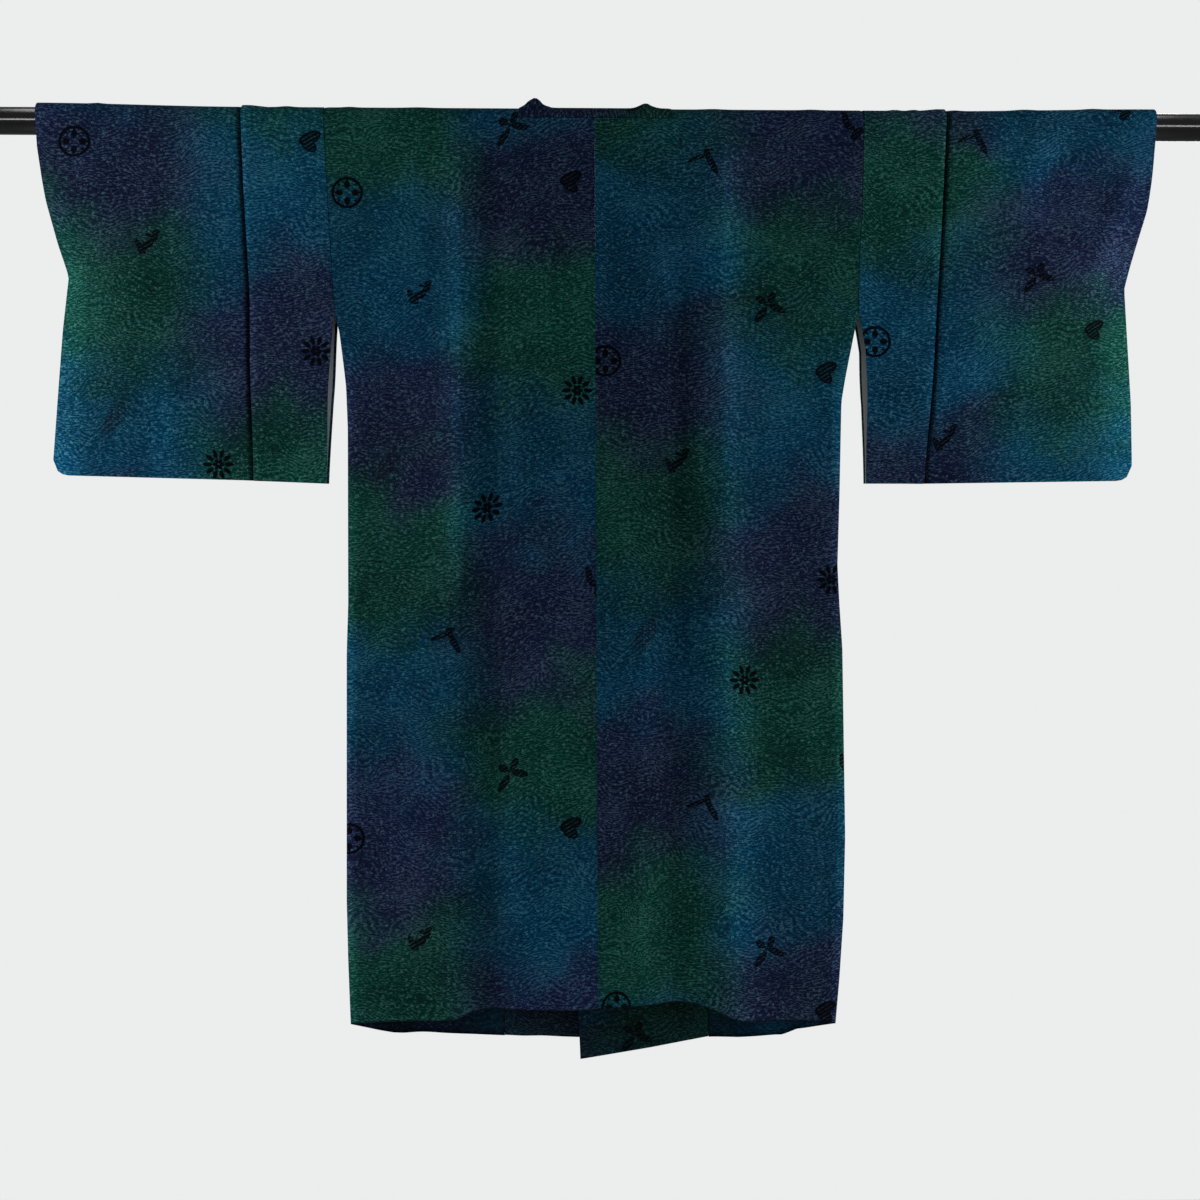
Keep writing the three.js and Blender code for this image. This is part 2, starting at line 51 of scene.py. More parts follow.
camera_data = bpy.data.cameras.new("camera")
camera_data.sensor_width = SENSOR
camera_data.lens = SENSOR * CAMERA_DISTANCE / PICTURE_WIDTH
camera = bpy.data.objects.new("camera", camera_data)
camera.location = [
    (PICTURE_CENTRE[0] - CAMERA_DISTANCE * math.sin(CAMERA_TURN)) * MM,
    (PICTURE_CENTRE[1] - CAMERA_DISTANCE * math.cos(CAMERA_TURN)) * MM,
    PICTURE_CENTRE[2] * MM,
]
camera.rotation_euler = (math.pi / 2, 0, -CAMERA_TURN)
bpy.context.scene.collection.objects.link(camera)
bpy.context.scene.camera = camera


# Rod
# A steel rail 32 mm across in thick black stove enamel, which carries the coat through both sleeves.
# It is a round bar with flat ends, as it is cut from stock.
ROD_RADIUS = 16
ROD_LENGTH = 1500
ROD_SIDES = 96
ROD_RIM = 0.8  # the ends are barely broken with a file
TURNED_SHARP = 30  # degrees, above which an edge of a turned metal piece is a sharp one


def linear(code):
    """An sRGB hex colour as the linear colour that Blender's sockets take."""
    shares = [int(code[i : i + 2], 16) / 255 for i in (1, 3, 5)]
    return [c / 12.92 if c <= 0.04045 else ((c + 0.055) / 1.055) ** 2.4 for c in shares] + [1.0]


def add_node(tree, kind, settings=None, **links):
    """Adds a node. Settings go to its own properties, where a bare name is its operation. Links go to its
    sockets: from a value, another socket, or a node's first output in use."""
    node = tree.nodes.new("ShaderNode" + kind)
    if isinstance(settings, str):
        settings = {"operation": settings}
    for name, value in (settings or {}).items():
        setattr(node, name, value)
    for name, value in links.items():
        key = int(name[1:]) if name[0] == "i" and name[1:].isdigit() else name.replace("_", " ")
        socket = node.inputs[key]
        if isinstance(value, bpy.types.Node):
            value = next(output for output in value.outputs if output.enabled)
        if isinstance(value, bpy.types.NodeSocket):
            tree.links.new(value, socket)
        else:
            socket.default_value = value
    return node


def new_material(name):
    """An empty material, and what adds a node to it."""
    material = bpy.data.materials.new(name)
    material.use_nodes = True
    material.node_tree.nodes.clear()
    return material, functools.partial(add_node, material.node_tree)


def black_stove_enamel():
    """Gloss black enamel over steel: a deep black with a sharp highlight, and a faint orange peel."""
    material, node = new_material("black_stove_enamel")
    place = node("TexCoord").outputs["Object"]
    peel = node("TexNoise", Vector=place, Scale=260, Detail=2)
    wear = node("TexNoise", Vector=place, Scale=35, Detail=4)
    rough = node("MapRange", Value=wear, To_Min=0.1, To_Max=0.24)
    tone = node("ValToRGB", Fac=wear)
    tone.color_ramp.elements[0].color = linear("#0a0a0b")
    tone.color_ramp.elements[1].color = linear("#141416")
    bump = node("Bump", Height=peel, Strength=0.04, Distance=0.001)
    shader = node("BsdfPrincipled", Base_Color=tone, Roughness=rough, IOR=1.5, Normal=bump)
    node("OutputMaterial", Surface=shader)
    return material


def new_object(name, vertices, faces, materials):
    """A mesh object from vertices in millimetres."""
    mesh = bpy.data.meshes.new(name)
    mesh.from_pydata((np.asarray(vertices) * MM).tolist(), [], faces)
    for material in materials:
        mesh.materials.append(material)
    mesh.polygons.foreach_set("use_smooth", [True] * len(mesh.polygons))
    made = bpy.data.objects.new(name, mesh)
    bpy.context.scene.collection.objects.link(made)
    return made


def turned_bar(name, radius, length, sides, rim, material):
    """A round bar along X with flat, slightly broken ends."""
    half = length / 2
    rings = [(-half, radius - rim), (-half + rim, radius), (half - rim, radius), (half, radius - rim)]
    vertices = []
    faces = []
    for x, r in rings:
        for k in range(sides):
            turn = 2 * math.pi * k / sides
            vertices.append((x, r * math.sin(turn), r * math.cos(turn)))
    for ring in range(len(rings) - 1):
        for k in range(sides):
            a = ring * sides + k
            b = ring * sides + (k + 1) % sides
            faces.append((a, b, b + sides, a + sides))
    faces.append(list(range(sides))[::-1])
    faces.append([(len(rings) - 1) * sides + k for k in range(sides)])
    made = new_object(name, vertices, faces, [material])
    made.data.set_sharp_from_angle(angle=math.radians(TURNED_SHARP))
    return made


rod = turned_bar("rod_enamelled", ROD_RADIUS, ROD_LENGTH, ROD_SIDES, ROD_RIM, black_stove_enamel())
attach(rod, "root")
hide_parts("rod")


# Body panels
# Two widths of figured silk crepe, each one cloth from the back hem over the shoulder to the front hem.
# They are sewn together down the middle of the back, and each closed at its own side below the armhole.
BACK = -1
BEND = 0
FRONT = 1
CLOTH = 1.0  # the visible wall of one cloth
SEAM_GAP = 0.02  # sewn edges lie against each other
CLOTH_SHARP = 55  # degrees, above which the cloth has a pressed edge and not a soft bend
BEND_RADIUS = 16.7  # inner side of the cloth where it bends over the rod
BEND_STEPS = 24
CLOSED_DEPTH = 0.35  # from the middle plane to the inner side of a wall at a closed seam
CUFF_NOTCH = -190
ARMHOLE_END = -231
SIDE_SEAM_TOP = -325
SIDE_FLAT = 150
NECK_HALF = 92
FRAME_INNER = 60
FRAME_FOOT = -150
NECK_BACK_ANGLE = -84
LAP_LIFT = 5.2  # the left front lies this far outside the right one
LAP_START = -30
ARMHOLE_EASE = 6  # the side begins to close this far above the armhole's end
EDGE_ROLL = 0.75  # a sewn edge turns in by so much over its last millimetres
EDGE_ROLL_WIDTH = 4.5

# Edges from the shoulder down, as height and x
BODY_CENTRE = [(20, -1), (-790, 1.5), (-1100, 4)]
LEFT = {
    "name": "left",
    "sign": -1,
    "body_edge": [(20, -327.2), (-113, -320), (-231, -312.8), (-256, -307), (-320, -301), (-370, -299),
                  (-582, -298.5), (-640, -300.3), (-940, -300.3), (-1012, -298.5), (-1090, -295.4)],
    "front_seam": [(-190, -92), (-1108, -110)],
    "band_edge": [(-182, 58), (-1115, 45)],
}
RIGHT = {
    "name": "right",
    "sign": 1,
    "body_edge": [(20, 324.4), (-112, 321.5), (-156, 318.4), (-231, 316.7), (-256, 311.9), (-305, 304),
                  (-336, 299.1), (-453, 296.7), (-534, 294.3), (-582, 296.7), (-636, 300.3), (-864, 303.7),
                  (-963, 301.5), (-1036, 296.7), (-1091, 291.9)],
    "front_seam": [(-190, 92), (-1111, 139)],
    "band_edge": [(-182, -58), (-1138, -18)],
}

# Hems from -X to +X, as x and height
BACK_HEM = [(-296, -1089), (-225, -1084), (-169, -1081), (-146, -1071), (-128, -1069), (-27, -1070),
            (63, -1064), (101, -1061), (125, -1063), (167, -1080), (180, -1084), (239, -1086), (292, -1091)]
LEFT["front_hem"] = [(-296, -1089), (-245, -1100), (-190, -1104), (-110, -1108), (-40, -1112), (45, -1115)]
RIGHT["front_hem"] = [(-18, -1138), (69, -1124), (139, -1111), (174, -1111), (228, -1107), (245, -1098),
                      (292, -1091)]

# Soft folds: face, x and height of the top, the same of the foot, half width, and how far it stands out
FOLDS = [
    (BACK, -165, -10, -163, -600, 20, 4),
    (BACK, -190, -80, -188, -270, 16, -3),
    (BACK, -146, -470, -124, -1180, 24, -5),
    (BACK, 155, 0, 156, -520, 22, 5),
    (BACK, 158, -440, 176, -1180, 26, 5),
    (BACK, 116, -440, 103, -1180, 20, -4),
    (BACK, 665, -20, 575, -270, 20, 4),
    (BACK, 560, 20, 505, -120, 18, 3),
    (BACK, -636, 0, -590, -110, 15, 3),
    (BACK, -606, -130, -612, -290, 16, -3),
    (BACK, -524, -270, -516, -450, 16, 3),
    (FRONT, -182, -40, -176, -690, 22, 4),
    (FRONT, -214, -520, -206, -1180, 24, 5),
    (FRONT, 176, -30, 186, -560, 20, 4),
    (FRONT, 214, -460, 226, -1180, 24, 5),
    (FRONT, 655, -30, 560, -290, 20, 4),
    (FRONT, -648, -20, -570, -240, 20, 4),
    (FRONT, -500, -230, -492, -450, 18, 3),
]
FOLD_FADE = 60
RIPPLE_SIZE = 0.42
RIPPLE_START = (-4, -60)  # the cloth lies smooth where it is pulled over the rod

# Finer creases and the steeper parts of the folds, in the same columns
CREASES = [
    (BACK, -164, 10, -163, -620, 5, 1.7),
    (BACK, -121, 0, -117, -1180, 15, -5),
    (BACK, -104, -300, -98, -700, 5, -0.7),
    (BACK, -240, -350, -236, -900, 6, -0.7),
    (BACK, -262, -560, -258, -1180, 9, -1.2),
    (BACK, 155, 10, 157, -500, 4.5, 1.7),
    (BACK, 100, -120, 87, -1180, 15, -5),
    (BACK, 152, -560, 171, -1180, 8, 1.4),
    (BACK, 60, -520, 56, -1180, 9, 1.3),
    (BACK, 236, -560, 240, -1060, 6, -0.8),
    (BACK, -628, -40, -590, -280, 14, -3.2),
    (BACK, -560, -20, -548, -160, 12, -1.6),
    (BACK, -484, -240, -478, -450, 10, -1.6),
    (BACK, 654, 20, 592, -190, 13, -3.2),
    (BACK, 582, 20, 500, -130, 10, 1.8),
    (BACK, 546, 20, 470, -120, 10, -1.5),
    (BACK, 616, -180, 604, -420, 14, -1.6),
    (BACK, 520, -200, 516, -450, 12, 1.6),
    (FRONT, -206, -100, -202, -760, 4, 1.2),
    (FRONT, -238, -60, -232, -1180, 12, -2.6),
    (FRONT, 206, -60, 214, -700, 4, 1.2),
    (FRONT, 240, -80, 248, -1180, 12, -2.6),
    (FRONT, 640, 20, 580, -200, 13, -2.6),
    (FRONT, -630, 0, -584, -240, 13, -2.4),
]
RIDGE_PAINTED_HIGHLIGHT = 0.1  # painted highlight gained on ridges and painted shade lost in troughs, for each millimetre that the folds stand out or lie back
TROUGH_PAINTED_SHADE = 0.035
SIDE_PAINTED_SHEEN = 0.9  # painted sheen gained along the body's own sides, and how far in
SIDE_PAINTED_SHEEN_WIDTH = 16

# The cloth rides up a little over the rod in places: x, half width and rise
TOP_WAVES = [(-598, 7, 1.0), (-372, 9, 1.2), (-296, 8, 0.9), (-214, 16, 0.7), (142, 14, 0.8), (262, 12, 0.8),
             (363, 6, 1.2), (386, 6, 1.4), (436, 8, 0.9), (520, 14, 1.2), (604, 12, 1.0)]


def ease(value, start, end):
    """Rises smoothly from 0 at start to 1 at end, which may lie either way."""
    t = np.clip((value - start) / (end - start), 0, 1)
    return t * t * (3 - 2 * t)


def read(table, at):
    """Reads a table of pairs at one value or many, with straight lines between its rows."""
    rows = sorted(table)
    return np.interp(at, [row[0] for row in rows], [row[1] for row in rows])


def line_rise(lines, face, x, z):
    """How far a table's folds push the cloth out at places on one face."""
    rise = np.zeros(np.broadcast(x, z).shape)
    for fold_face, x_top, z_top, x_foot, z_foot, half, height in lines:
        if fold_face == face:
            share = (z - z_top) / (z_foot - z_top)
            across = (x - (x_top + (x_foot - x_top) * share)) / half
            fade = ease(z, z_top, z_top - FOLD_FADE) * ease(z, z_foot, z_foot + FOLD_FADE)
            rise = rise + height * np.exp(-across * across) * fade
    return rise


def ripple(face, x, z):
    """The cloth's own small unevenness: long shallow waves that never repeat in step."""
    lean = x + 0.07 * z + 31 * face
    waves = np.sin(lean / 29 + np.sin(z / 143 + face)) * np.sin(z / 188 + 0.7)
    waves = waves + 0.6 * np.sin(lean / 61 - z / 97 + 1.1) + 0.5 * np.sin(z / 53 + np.sin(x / 77))
    return RIPPLE_SIZE * waves


def body_depth(side, x, z):
    """Half depth of the body: as wide as the rod, and flat at the side seams below the armholes."""
    from_edge = np.abs(read(side["body_edge"], z) - x)
    closed = ease(z, ARMHOLE_END + ARMHOLE_EASE, SIDE_SEAM_TOP)
    open_share = 1 + (ease(from_edge, 0, SIDE_FLAT) - 1) * closed
    return CLOSED_DEPTH + (BEND_RADIUS - CLOSED_DEPTH) * open_share


def left_lift(side, x, z):
    """The left front passes outside the right one between its band's seam and its free edge."""
    if side is not LEFT:
        return 0 * x
    return LAP_LIFT * ease(x, -NECK_HALF, -FRAME_INNER) * ease(z, LAP_START, FRAME_FOOT)


def fold_painted_light(face, x, z):
    """Painted light on the folds: a painted highlight on the ridges and painted shade in the troughs, by how
    far each place stands out or lies back."""
    rise = line_rise(FOLDS, face, x, z) + line_rise(CREASES, face, x, z)
    return 1 + RIDGE_PAINTED_HIGHLIGHT * np.maximum(rise, 0) + TROUGH_PAINTED_SHADE * np.minimum(rise, 0)


def cloth_drape(face, x, z, depth):
    """Folds, creases and ripples together, fading where a closed edge holds the cloth flat."""
    room = ease(depth, CLOSED_DEPTH, BEND_RADIUS / 2)
    fine = line_rise(CREASES, face, x, z) + ripple(face, x, z) * ease(z, *RIPPLE_START)
    return (line_rise(FOLDS, face, x, z) + fine) * room


def edge_roll(distance):
    """How far a sewn edge turns in, at a distance from it."""
    return -EDGE_ROLL * (1 - ease(distance, 0, EDGE_ROLL_WIDTH))


def cloth_rows(levels, hem_start=None):
    """Rows from the back hem over the rod to the front hem. Levels are height and rows; the last is the hem.
    The share of the last level where the hem's edge starts to turn in gets its own row."""
    hanging = []
    for (top, _), (foot, count) in zip(levels, levels[1:]):
        hanging += [{"from": top, "to": foot, "share": (i + 1) / count} for i in range(count)]
    if hem_start:
        hanging.insert(-1, dict(hanging[-1], share=hem_start))
    back = [dict(row, face=BACK) for row in reversed(hanging)]
    bend = [{"face": BEND, "angle": -90 + 180 * i / BEND_STEPS} for i in range(BEND_STEPS + 1)]
    front = [dict(row, face=FRONT) for row in hanging]
    return back + bend + front


def row_places(row, typical_hem, column_x, hem_at):
    """x and height of a row's points, where the hem's height depends on x."""
    foot = typical_hem if row["to"] is None else row["to"]
    guess = row["from"] + (foot - row["from"]) * row["share"]
    if row["to"] is not None:
        x = column_x(guess)
        return x, guess + 0 * x
    z = row["from"] + (hem_at(column_x(guess)) - row["from"]) * row["share"]
    return column_x(z), z


def top_wave(x):
    return sum(rise * np.exp(-(((x - middle) / half) ** 2)) for middle, half, rise in TOP_WAVES)


def bend_points(x, angle, out):
    """Points over the rod, out outside the cloth's inner side there."""
    turn = math.radians(angle)
    radius = BEND_RADIUS + out + top_wave(x) * math.cos(turn) ** 2
    return np.stack([x, radius * math.sin(turn) + 0 * x, radius * math.cos(turn) + 0 * x], axis=-1)


def hanging_points(face, x, z, out):
    return np.stack([x, face * out + 0 * x, z + 0 * x], axis=-1)


def cloth_length(row, z):
    """Length along the cloth from the back's top line, down the back positive."""
    if row["face"] == BACK:
        return -z
    if row["face"] == BEND:
        return 0 * z - BEND_RADIUS * math.radians(row["angle"] + 90)
    return z - BEND_RADIUS * math.pi


def wall(name, rows, present, materials, trim=0, inner_painted_shade=1.0):
    """A thin closed shell. Each row holds its outer and inner points, the cloth's own coordinates there, and
    the painted light and shade on it, which can be made darker still on the inner side as painted shade. The
    last columns of its inner side, as many as trim says, are turned in and show the face."""
    outer = np.array([row["outer"] for row in rows])
    inner = np.array([row["inner"] for row in rows])
    bolt = np.array([row["bolt"] for row in rows])
    tone = np.array([row["tone"] + 0 * row["bolt"][:, 0] for row in rows]).ravel()
    row_count, column_count = outer.shape[:2]
    size = row_count * column_count
    there = np.zeros((row_count + 1, column_count + 1), bool)
    for r in range(row_count - 1):
        for c in range(column_count - 1):
            there[r, c] = present(r, c)
    faces = []
    skins = []
    for r in range(row_count - 1):
        for c in range(column_count - 1):
            if not there[r, c]:
                continue
            ring = [(r, c), (r, c + 1), (r + 1, c + 1), (r + 1, c)]
            out = [a * column_count + b for a, b in ring]
            faces += [out, [k + size for k in reversed(out)]]
            skins += [0, 0 if c >= column_count - 1 - trim else 1]
            for k, (a, b) in enumerate([(r - 1, c), (r, c + 1), (r + 1, c), (r, c - 1)]):
                if not there[a, b]:
                    one, two = out[k], out[(k + 1) % 4]
                    faces.append([two, one, one + size, two + size])
                    skins.append(0)
    used = sorted({k for face in faces for k in face})
    place = {k: i for i, k in enumerate(used)}
    faces = [[place[k] for k in face] for face in faces]
    vertices = np.concatenate([outer.reshape(-1, 3), inner.reshape(-1, 3)])[used]
    corners = vertices[[face[:3] for face in faces]]
    spread = np.cross(corners[:, 1] - corners[:, 0], corners[:, 2] - corners[:, 0])
    if np.sum(corners[:, 0] * spread) < 0:
        faces = [face[::-1] for face in faces]
    made = new_object(name, vertices, faces, materials)
    made.data.polygons.foreach_set("material_index", skins)
    coordinates = np.concatenate([bolt.reshape(-1, 3), bolt.reshape(-1, 3)])[used]
    made.data.attributes.new("bolt", "FLOAT_VECTOR", "POINT").data.foreach_set("vector", coordinates.ravel())
    tones = np.concatenate([tone, tone * inner_painted_shade])[used]
    made.data.attributes.new("tone", "FLOAT", "POINT").data.foreach_set("value", tones)
    made.data.set_sharp_from_angle(angle=math.radians(CLOTH_SHARP))
    return made


def hang_silk(cloth, replaced):
    """Attaches a shell of figured silk to the root, and hides the CAD part that it replaces."""
    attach(cloth, "root")
    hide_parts(replaced)


# The figured silk is dyed in clouds that follow each other down the bolt, blue to purple to green, and stand
# half a step apart on its two halves. Its motifs repeat every 775 mm. All sizes are in millimetres of cloth.
CLOUD_STEP = 516.8
CLOUD_START = 246  # a purple cloud's middle on the bolt's left half
CLOUD_SHIFT = 0.34  # how far the noise moves their borders, in steps
HALF_DROP = 0.464
HALVES_MEET = (160, 262)  # across the bolt, where one row of clouds turns into the other
HALVES_SWAY = 110  # how far noise moves that line
CLOUDS = [(0.0, "#161e40"), (0.08, "#161f3f"), (0.25, "#063c32"), (0.42, "#053c34"),
          (0.58, "#013d58"), (0.77, "#013c5b"), (0.92, "#141f43"), (1.0, "#161e40")]
MOTIF_REPEAT = 775.2
REPEAT_TOP = -90  # where the charts' repeat begins
MOTIF_UNIT = 1.2  # one unit of the charts below

# Each motif's place on the bolt, and its blobs in chart units: across, down, half length, half width, degrees
BLOB_MOTIFS = [
    ((134, 0), [(-10, -1.5, 11, 2.2, -22), (4.5, 4.5, 12.5, 3.3, 62), (1, -9, 4.6, 1.7, -6),
                (0, -5, 3.6, 3, 0)]),
    ((208, 174), [(-8, -5, 5.6, 3.6, 35), (3, -7, 6.2, 3.7, -65), (-7.5, 10, 9.2, 3.9, 127),
                  (8.5, 3.5, 9.2, 3.6, 25), (-2, -1, 2, 2, 0)]),
    ((280, 253), [(-0.5, -3.2, 12, 6.2, -24), (-1.5, 3.6, 9.6, 6, 44)]),
    ((97, 361), [(-8, 2, 5, 2.6, 62), (-4.5, 8.5, 5, 3.4, 20), (-1, 4, 5, 3.3, -55), (4, 1.5, 5.4, 3.2, -60),
                 (8, -4, 5.2, 3.1, -60), (9.5, -9.5, 4, 2.4, -30), (3, -6.5, 3.2, 1.6, 12)]),
    ((308, -43), [(-6, -6, 8.5, 3.4, 82), (-2, 2, 6, 3.2, 30), (6, 8, 7.6, 4.4, -42), (3, 13, 4.6, 2.2, 15),
                  (-7, -12, 2.6, 2, 0)]),
]
# Round motifs: place, then rings of petals: how many, distance of their middles, half length, half width
ROUND_MOTIFS = [
    ((287, 504), [(10, 10.8, 4.6, 2.2), (6, 3.4, 2.6, 1.9)]),
    ((179, 625), [(10, 10.8, 4.6, 2.2), (6, 3.4, 2.6, 1.9)]),
    ((12, 242), [(4, 8.0, 3.6, 3.2), (8, 11.6, 1.5, 1.1)]),
]
RING = ((12, 242), 14.4, 1.4)  # place, radius and half width of the line round the third one
LOZENGE = ((56, 570), 27, 11, -54)  # place, half length, half width and turn, in millimetres and degrees
NO_REACH = 1000  # far outside every blob, whose edge is at 1


def figured_silk(name, depth):
    """Figured silk crepe: pale floats on a dark dyed ground, and motifs in matt black weft.
    Depth is how strongly the figure stands out: its wrong side is duller."""
    material, node = new_material(name)
    bolt = node("Attribute", {"attribute_name": "bolt"}).outputs["Vector"]
    across, down, dye = node("SeparateXYZ", Vector=bolt).outputs
    dyed = node("CombineXYZ", X=across, Y=dye)
    figure = node("CombineXYZ", X=across, Y=down)
    flat = {"noise_dimensions": "2D"}
    blend = {"data_type": "RGBA"}

    # Two rows of clouds, one on each half of the bolt, that run softly into each other
    border = node("TexNoise", flat, Vector=dyed, Scale=0.009, Detail=2.5)
    edge = node("SeparateColor", Color=border.outputs["Color"])
    run = node("Math", "MULTIPLY_ADD", i0=dye, i1=1 / CLOUD_STEP,
               i2=-CLOUD_START / CLOUD_STEP - CLOUD_SHIFT / 2)
    phase = node("Math", "MULTIPLY_ADD", i0=edge.outputs[0], i1=CLOUD_SHIFT, i2=run)
    halves = []
    for drop in (0, -HALF_DROP):
        moved = node("Math", i0=phase, i1=drop)
        dye_bath = node("ValToRGB", Fac=node("Math", "FRACT", i0=moved))
        ramp = dye_bath.color_ramp
        ramp.interpolation = "EASE"
        for stop, (position, code) in zip(ramp.elements, (CLOUDS[0], CLOUDS[-1])):
            stop.position, stop.color = position, linear(code)
        for position, code in CLOUDS[1:-1]:
            ramp.elements.new(position).color = linear(code)
        halves.append(dye_bath)
    sway = node("Math", "MULTIPLY_ADD", i0=edge.outputs[1], i1=HALVES_SWAY, i2=across)
    side = node("MapRange", {"interpolation_type": "SMOOTHSTEP"}, Value=sway,
                From_Min=HALVES_MEET[0], From_Max=HALVES_MEET[1])
    clouded = node("Mix", blend, i0=side, i6=halves[0], i7=halves[1])
    # The dye took unevenly, so broad parts of the ground are darker.
    taken = node("TexNoise", flat, Vector=dyed, Scale=0.0065, Detail=2)
    strength = node("MapRange", Value=taken, From_Min=0.36, From_Max=0.6, To_Min=0.78, To_Max=1.1)
    ground = node("VectorMath", "SCALE", i0=clouded, Scale=strength)

    # Pale floats: short dashes across the cloth that follow winding contour lines, with brighter knots among
    # them. The real dashes are about 2.5 mm by 1 mm, and are drawn at 4 mm by 1.5 mm to show.
    winding = node("TexNoise", flat, Vector=figure, Scale=0.014, Detail=1.5)
    level_lines = node("Math", "MULTIPLY", i0=down, i1=1.6)
    contour = node("Math", "MULTIPLY_ADD", i0=winding, i1=110, i2=level_lines)
    lines = node("Math", "SINE", i0=contour)
    squeeze = node("Mapping", Vector=figure, Scale=(0.23, 0.7, 1))
    dashes = node("TexNoise", flat, Vector=squeeze, Scale=1, Detail=1.5, Distortion=0.5)
    patches = node("TexNoise", flat, Vector=figure, Scale=0.016, Detail=1)
    along = node("Math", "MULTIPLY_ADD", i0=lines, i1=0.095, i2=dashes)
    dense = node("Math", "MULTIPLY_ADD", i0=patches, i1=0.24, i2=along)
    floats = node("MapRange", Value=dense, From_Min=0.67, From_Max=0.81)
    # Painted shade: where the floats thin out, the ground is drawn darker, as the shadow that falls between
    # them.
    float_gap_shade = node("MapRange", Value=dense, From_Min=0.6, From_Max=0.42, To_Max=0.6)
    loose = node("TexNoise", flat, Vector=figure, Scale=0.45, Detail=1).outputs["Color"]
    strewn = node("VectorMath", "MULTIPLY_ADD", i0=loose, i1=(7, 5, 0), i2=figure)
    knots = node("TexVoronoi", {"voronoi_dimensions": "2D"}, Vector=strewn, Scale=0.16)
    knot_reach = node("MapRange", Value=knots, From_Min=0.25, From_Max=0.12)
    knot_light = node("SeparateColor", Color=knots.outputs["Color"])
    knot = node("Math", "MULTIPLY", i0=knot_reach, i1=knot_light)

    # Motifs: the bolt's length is wrapped to one repeat, and its threads make every outline a little ragged.
    wrapped = node("Math", "WRAP", i0=down, i1=MOTIF_REPEAT + REPEAT_TOP, i2=REPEAT_TOP)
    repeat = node("CombineXYZ", X=across, Y=wrapped)
    thread = node("TexNoise", flat, Vector=figure, Scale=0.6, Detail=1).outputs["Color"]
    rag = node("VectorMath", "MULTIPLY_ADD", i0=thread, i1=(2, 2, 0), i2=(-1, -1, 0))
    spot = node("VectorMath", i0=repeat, i1=rag)

    def reach_of(place, middle, half_length, half_width, turn=0):
        """How far a place lies from the middle of an ellipse, whose edge is at 1."""
        local = node("Mapping", {"vector_type": "TEXTURE"}, Vector=place, Location=(*middle, 0),
                     Rotation=(0, 0, math.radians(turn)), Scale=(half_length, half_width, 1))
        return node("VectorMath", "LENGTH", i0=local)

    leaf_reach = NO_REACH
    for (left, top), blobs in BLOB_MOTIFS:
        for x, y, half_length, half_width, turn in blobs:
            middle = (left + x * MOTIF_UNIT, top + y * MOTIF_UNIT)
            reach = reach_of(spot, middle, half_length * MOTIF_UNIT, half_width * MOTIF_UNIT, turn)
            leaf_reach = node("Math", "MINIMUM", i0=leaf_reach, i1=reach)
    nearest = leaf_reach
    for (left, top), rings in ROUND_MOTIFS:
        offset = node("VectorMath", "SUBTRACT", i0=spot, i1=(left, top, 0))
        right_leg, down_leg, _ = node("SeparateXYZ", Vector=offset).outputs
        radius = node("VectorMath", "LENGTH", i0=offset)
        bearing = node("Math", "ARCTAN2", i0=down_leg, i1=right_leg)
        for petals, distance, half_length, half_width in rings:
            folded = node("Math", "WRAP", i0=bearing, i1=math.pi / petals, i2=-math.pi / petals)
            rise = node("Math", "SINE", i0=folded)
            level = node("Math", "COSINE", i0=folded)
            unit = node("CombineXYZ", X=level, Y=rise)
            local = node("VectorMath", "SCALE", i0=unit, Scale=radius)
            middle = (distance * MOTIF_UNIT, 0)
            reach = reach_of(local, middle, half_length * MOTIF_UNIT, half_width * MOTIF_UNIT)
            nearest = node("Math", "MINIMUM", i0=nearest, i1=reach)
    (left, top), ring_radius, ring_half = RING
    ring_reach = node("VectorMath", "DISTANCE", i0=spot, i1=(left, top, 0))
    ring = node("Math", "COMPARE", i0=ring_reach, i1=ring_radius * MOTIF_UNIT, i2=ring_half * MOTIF_UNIT)
    solid = node("MapRange", Value=nearest, From_Min=1.05, From_Max=0.93)
    # Leaves and wings keep pale veins inside their outlines.
    inside = node("MapRange", Value=leaf_reach, From_Min=0.8, From_Max=0.66)
    vein_run = node("VectorMath", "DOT_PRODUCT", i0=spot, i1=(0.75, 1.3, 0))
    vein = node("Math", "SINE", i0=vein_run)
    vein_share = node("MapRange", Value=vein, From_Min=0.2, From_Max=0.85, To_Max=0.6)
    veins = node("Math", "MULTIPLY", i0=inside, i1=vein_share)
    veined = node("Math", {"operation": "SUBTRACT", "use_clamp": True}, i0=solid, i1=veins)
    ink = node("Math", "MAXIMUM", i0=veined, i1=ring)

    # A last motif is woven in the ground's own dark thread and hardly shows: a lozenge of small pale rings.
    lozenge_reach = reach_of(spot, *LOZENGE)
    cells = node("TexVoronoi", {"voronoi_dimensions": "2D"}, Vector=figure, Scale=0.24, Randomness=0.45)
    seeds = node("MapRange", Value=cells, From_Min=0.3, From_Max=0.5, To_Min=0.15, To_Max=0.75)
    lozenge_edge = node("MapRange", Value=lozenge_reach, From_Min=1.15, From_Max=0.7)
    shade = node("Math", "MULTIPLY", i0=seeds, i1=lozenge_edge)

